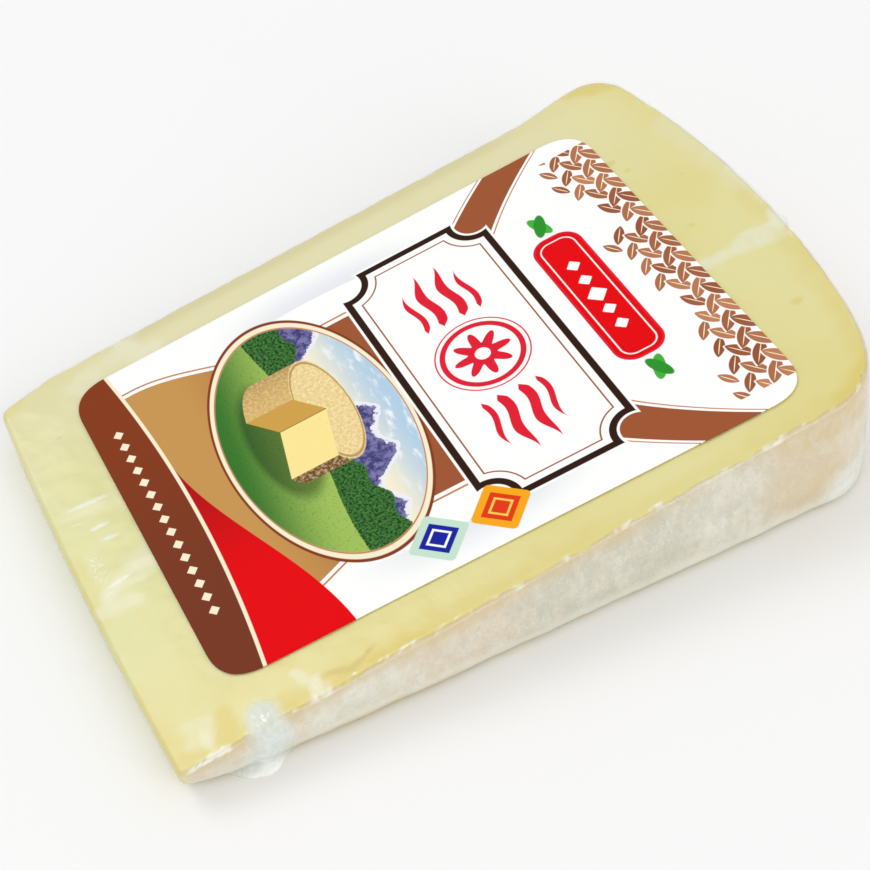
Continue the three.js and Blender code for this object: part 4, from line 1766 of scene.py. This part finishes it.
    def plaque(self) -> None:
        """Prints a white plaque with notched corners, a dark double border and an ornament."""
        side, up = self.side, self.up
        (middle_x, middle_y), (wide, tall) = self.plaque_box
        frame = self.box(*self.plaque_box, 3.0)
        for across in (middle_x - wide, middle_x + wide):
            for height in (middle_y - tall, middle_y + tall):
                frame = frame.high(-self.ellipse((across, height), (self.notch, self.notch)))
        self.fill(frame - 1.9, self.paper)
        self.rule(frame - 0.7, 0.7, self.outline)
        self.fill(frame, self.paper)
        self.rule(frame + 1.5, 0.16, self.brown)
        off = up - self.rosette_middle
        away = (side * side + off * off) ** 0.5
        mean, swing, count = self.petals
        drawn = away - mean - swing * (side.math("ARCTAN2", off) * count).math("COSINE")
        for radius, half in self.rosette_rings:
            drawn = drawn.low(abs(away - radius) - half)
        self.cover(self.inside(drawn) * (1 - self.inside(away - self.rosette_hole)), self.rose)
        out = abs(side)
        for height, reach, thick in self.bars:
            wave = up - height - 0.55 * (out * 0.55).math("SINE")
            swell = thick * (out.ease(10.2, 12.2) * out.ease(11.0 + reach, 11.5 + reach / 2))
            self.fill(abs(wave) - swell + 0.1, self.rose)

    def bar(self) -> None:
        """Prints a plain red bar with a row of lozenges, and green leaves at its ends."""
        bar = self.box(*self.bar_box, 3.4)
        height = self.bar_box[0][1]
        self.fill(bar - 0.5, self.rose)
        self.fill(bar, self.red[1])
        self.rule(bar + 1.0, 0.14, self.paper)
        for across in (-9.0, -4.5, 0.0, 4.5, 9.0):
            size = 1.5 if across == 0.0 else 1.05
            self.fill(self.box((across, height), (size, size), 0.2, 45.0), self.paper)
        for across, turn in ((-22.2, 24.0), (22.2, -24.0)):
            for slant, tone in zip((turn, -turn), self.leaves):
                self.fill(self.ellipse((across, height), (3.1, 1.2), slant), tone)

    def badges(self) -> None:
        """Prints two lozenge badges at the near edge, each of three inks."""
        badges = (
            (-0.5, ink(246, 168, 28), ink(226, 58, 20), ink(250, 206, 90)),
            (-12.6, ink(196, 226, 206), ink(24, 34, 158), ink(250, 252, 250)),
        )
        for height, rim, core, line_tone in badges:
            gem = self.box((self.badge_side, height), (4.3, 4.3), 0.9, 45.0)
            self.fill(gem, rim)
            self.fill(gem + 1.5, core)
            self.rule(gem + 2.7, 0.22, line_tone)


# ------------------------------------------------------------------ studio


@dataclass
class Studio:
    """Camera, pale floor and soft lights."""

    shift: Array
    azimuth: float = -19.75
    elevation: float = 46.25
    roll: float = -9.03
    distance: float = 377.48
    focal_pixels: float = 2038.71
    frame_pixels: float = 870.0
    target: Point = (69.51, -5.37, 10.0)
    sensor: float = 36.0
    clip: Pair = (0.01, 50.0)
    floor_half: float = 6.0
    floor_drop: float = -0.0002
    floor_grey: Colour = (0.92, 0.92, 0.92, 1.0)
    sky_strength: float = 0.76
    lights: tuple[tuple[str, Point, float, float], ...] = (
        ("key_light", (-1.0, 1.4, 2.5), 1.8, 20.0),
        ("front_light", (0.6, -2.2, 1.4), 1.8, 17.0),
    )

    def camera(self) -> None:
        """Places the camera: back from its target, then rolled about its line of sight."""
        a, e, r = (math.radians(angle) for angle in (self.azimuth, self.elevation, self.roll))
        back = Vector((math.sin(a) * math.cos(e), -math.cos(a) * math.cos(e), math.sin(e)))
        level = (-back).cross(Vector((0, 0, 1))).normalized()
        upright = level.cross(-back)
        right = math.cos(r) * level + math.sin(r) * upright
        up = -math.sin(r) * level + math.cos(r) * upright
        data = bpy.data.cameras.new("camera")
        data.sensor_width = self.sensor
        data.lens = self.focal_pixels / self.frame_pixels * self.sensor
        data.clip_start, data.clip_end = self.clip
        camera = bpy.data.objects.new("camera", data)
        bpy.context.collection.objects.link(camera)
        spot = (Vector(self.target) + Vector(self.shift) + back * self.distance) * MM
        axes = Matrix((right, up, back)).transposed().to_4x4()
        camera.matrix_world = Matrix.Translation(spot) @ axes
        bpy.context.scene.camera = camera

    def floor(self) -> None:
        """A wide pale floor just under the object."""
        data = bpy.data.meshes.new("floor")
        ways = ((-1, -1), (1, -1), (1, 1), (-1, 1))
        spots = [(x * self.floor_half, y * self.floor_half, self.floor_drop) for x, y in ways]
        data.from_pydata(spots, [], [(0, 1, 2, 3)])
        floor = bpy.data.objects.new("floor", data)
        bpy.context.collection.objects.link(floor)
        bench = Bench("floor")
        sockets = {"Base Color": self.floor_grey, "Roughness": 0.7}
        data.materials.append(bench.finish(bench.node("ShaderNodeBsdfPrincipled", {}, sockets)))

    def light(self, name: str, place: Point, size: float, power: float) -> None:
        """Adds a square soft light that is aimed at the object.

        Args:
            name: The light's name.
            place: Where it stands, in metres.
            size: Its side in metres.
            power: Its power in watts.
        """
        data = bpy.data.lights.new(name, "AREA")
        data.size, data.energy = size, power
        lamp = bpy.data.objects.new(name, data)
        lamp.location = place
        lamp.rotation_mode = "QUATERNION"
        lamp.rotation_quaternion = (-Vector(place)).to_track_quat("-Z", "Y")
        bpy.context.collection.objects.link(lamp)

    def build(self) -> None:
        """Sets up the whole studio."""
        self.camera()
        self.floor()
        world = bpy.data.worlds.new("studio")
        world.use_nodes = True
        backdrop = world.node_tree.nodes["Background"].inputs
        backdrop["Color"].default_value = (1, 1, 1, 1)
        backdrop["Strength"].default_value = self.sky_strength
        bpy.context.scene.world = world
        bpy.context.scene.view_settings.view_transform = "Standard"
        for light in self.lights:
            self.light(*light)


# ------------------------------------------------------------------ assembly


@dataclass
class TomaWedge:
    """The whole pack: cheese, film and label."""

    form: WedgeForm = field(default_factory=WedgeForm)

    def build(self) -> Array:
        """Builds and dresses every piece.

        Returns:
            The shift from the wedge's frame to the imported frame, in millimetres.
        """
        pack = ("wrapped_wedge", "wrapped_cheese")
        sheet = PaperLabel(self.form)
        shift = sheet.shift()
        LOG.info("shift from the wedge's frame: %s mm", np.round(shift, 3))
        cheese = PackShell(self.form, Skin.CHEESE, inside=0.22).build("cheese", shift)
        self.keep(cheese, CheeseFinish().dress(shift), *pack)
        film = PackShell(self.form, Skin.FILM, inside=0.0).build("film_wrap", shift)
        self.keep(film, FilmFinish().dress(shift), *pack)
        film.visible_shadow = film.visible_diffuse = False
        label = sheet.build("paper_label", shift)
        self.keep(label, LabelPrint(sheet, shift).dress(), "label", "printed_label")
        return shift

    @staticmethod
    def keep(piece: bpy.types.Object, material: bpy.types.Material, node: str, slot: str) -> None:
        """Gives a piece its finish and its place in the part, and reports it.

        Args:
            piece: The piece.
            material: Its material.
            node: The node it stands for.
            slot: Not used.
        """
        piece.data.materials.append(material)
        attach(piece, "root")
        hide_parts(node)
        data = piece.data
        LOG.info("%s: %d points, %d faces", piece.name, len(data.vertices), len(data.polygons))


def corners(box: tuple[Vector, Vector]) -> list[list[float]]:
    """A box's two corners as plain lists."""
    return [[float(v) for v in corner] for corner in box]


def main() -> None:
    """Loads the frame, and builds the pack and the studio."""
    logging.basicConfig(level=logging.INFO, format="%(name)s: %(message)s")
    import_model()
    shift = TomaWedge().build()
    Studio(shift).build()


if __name__ == "__main__":
    main()
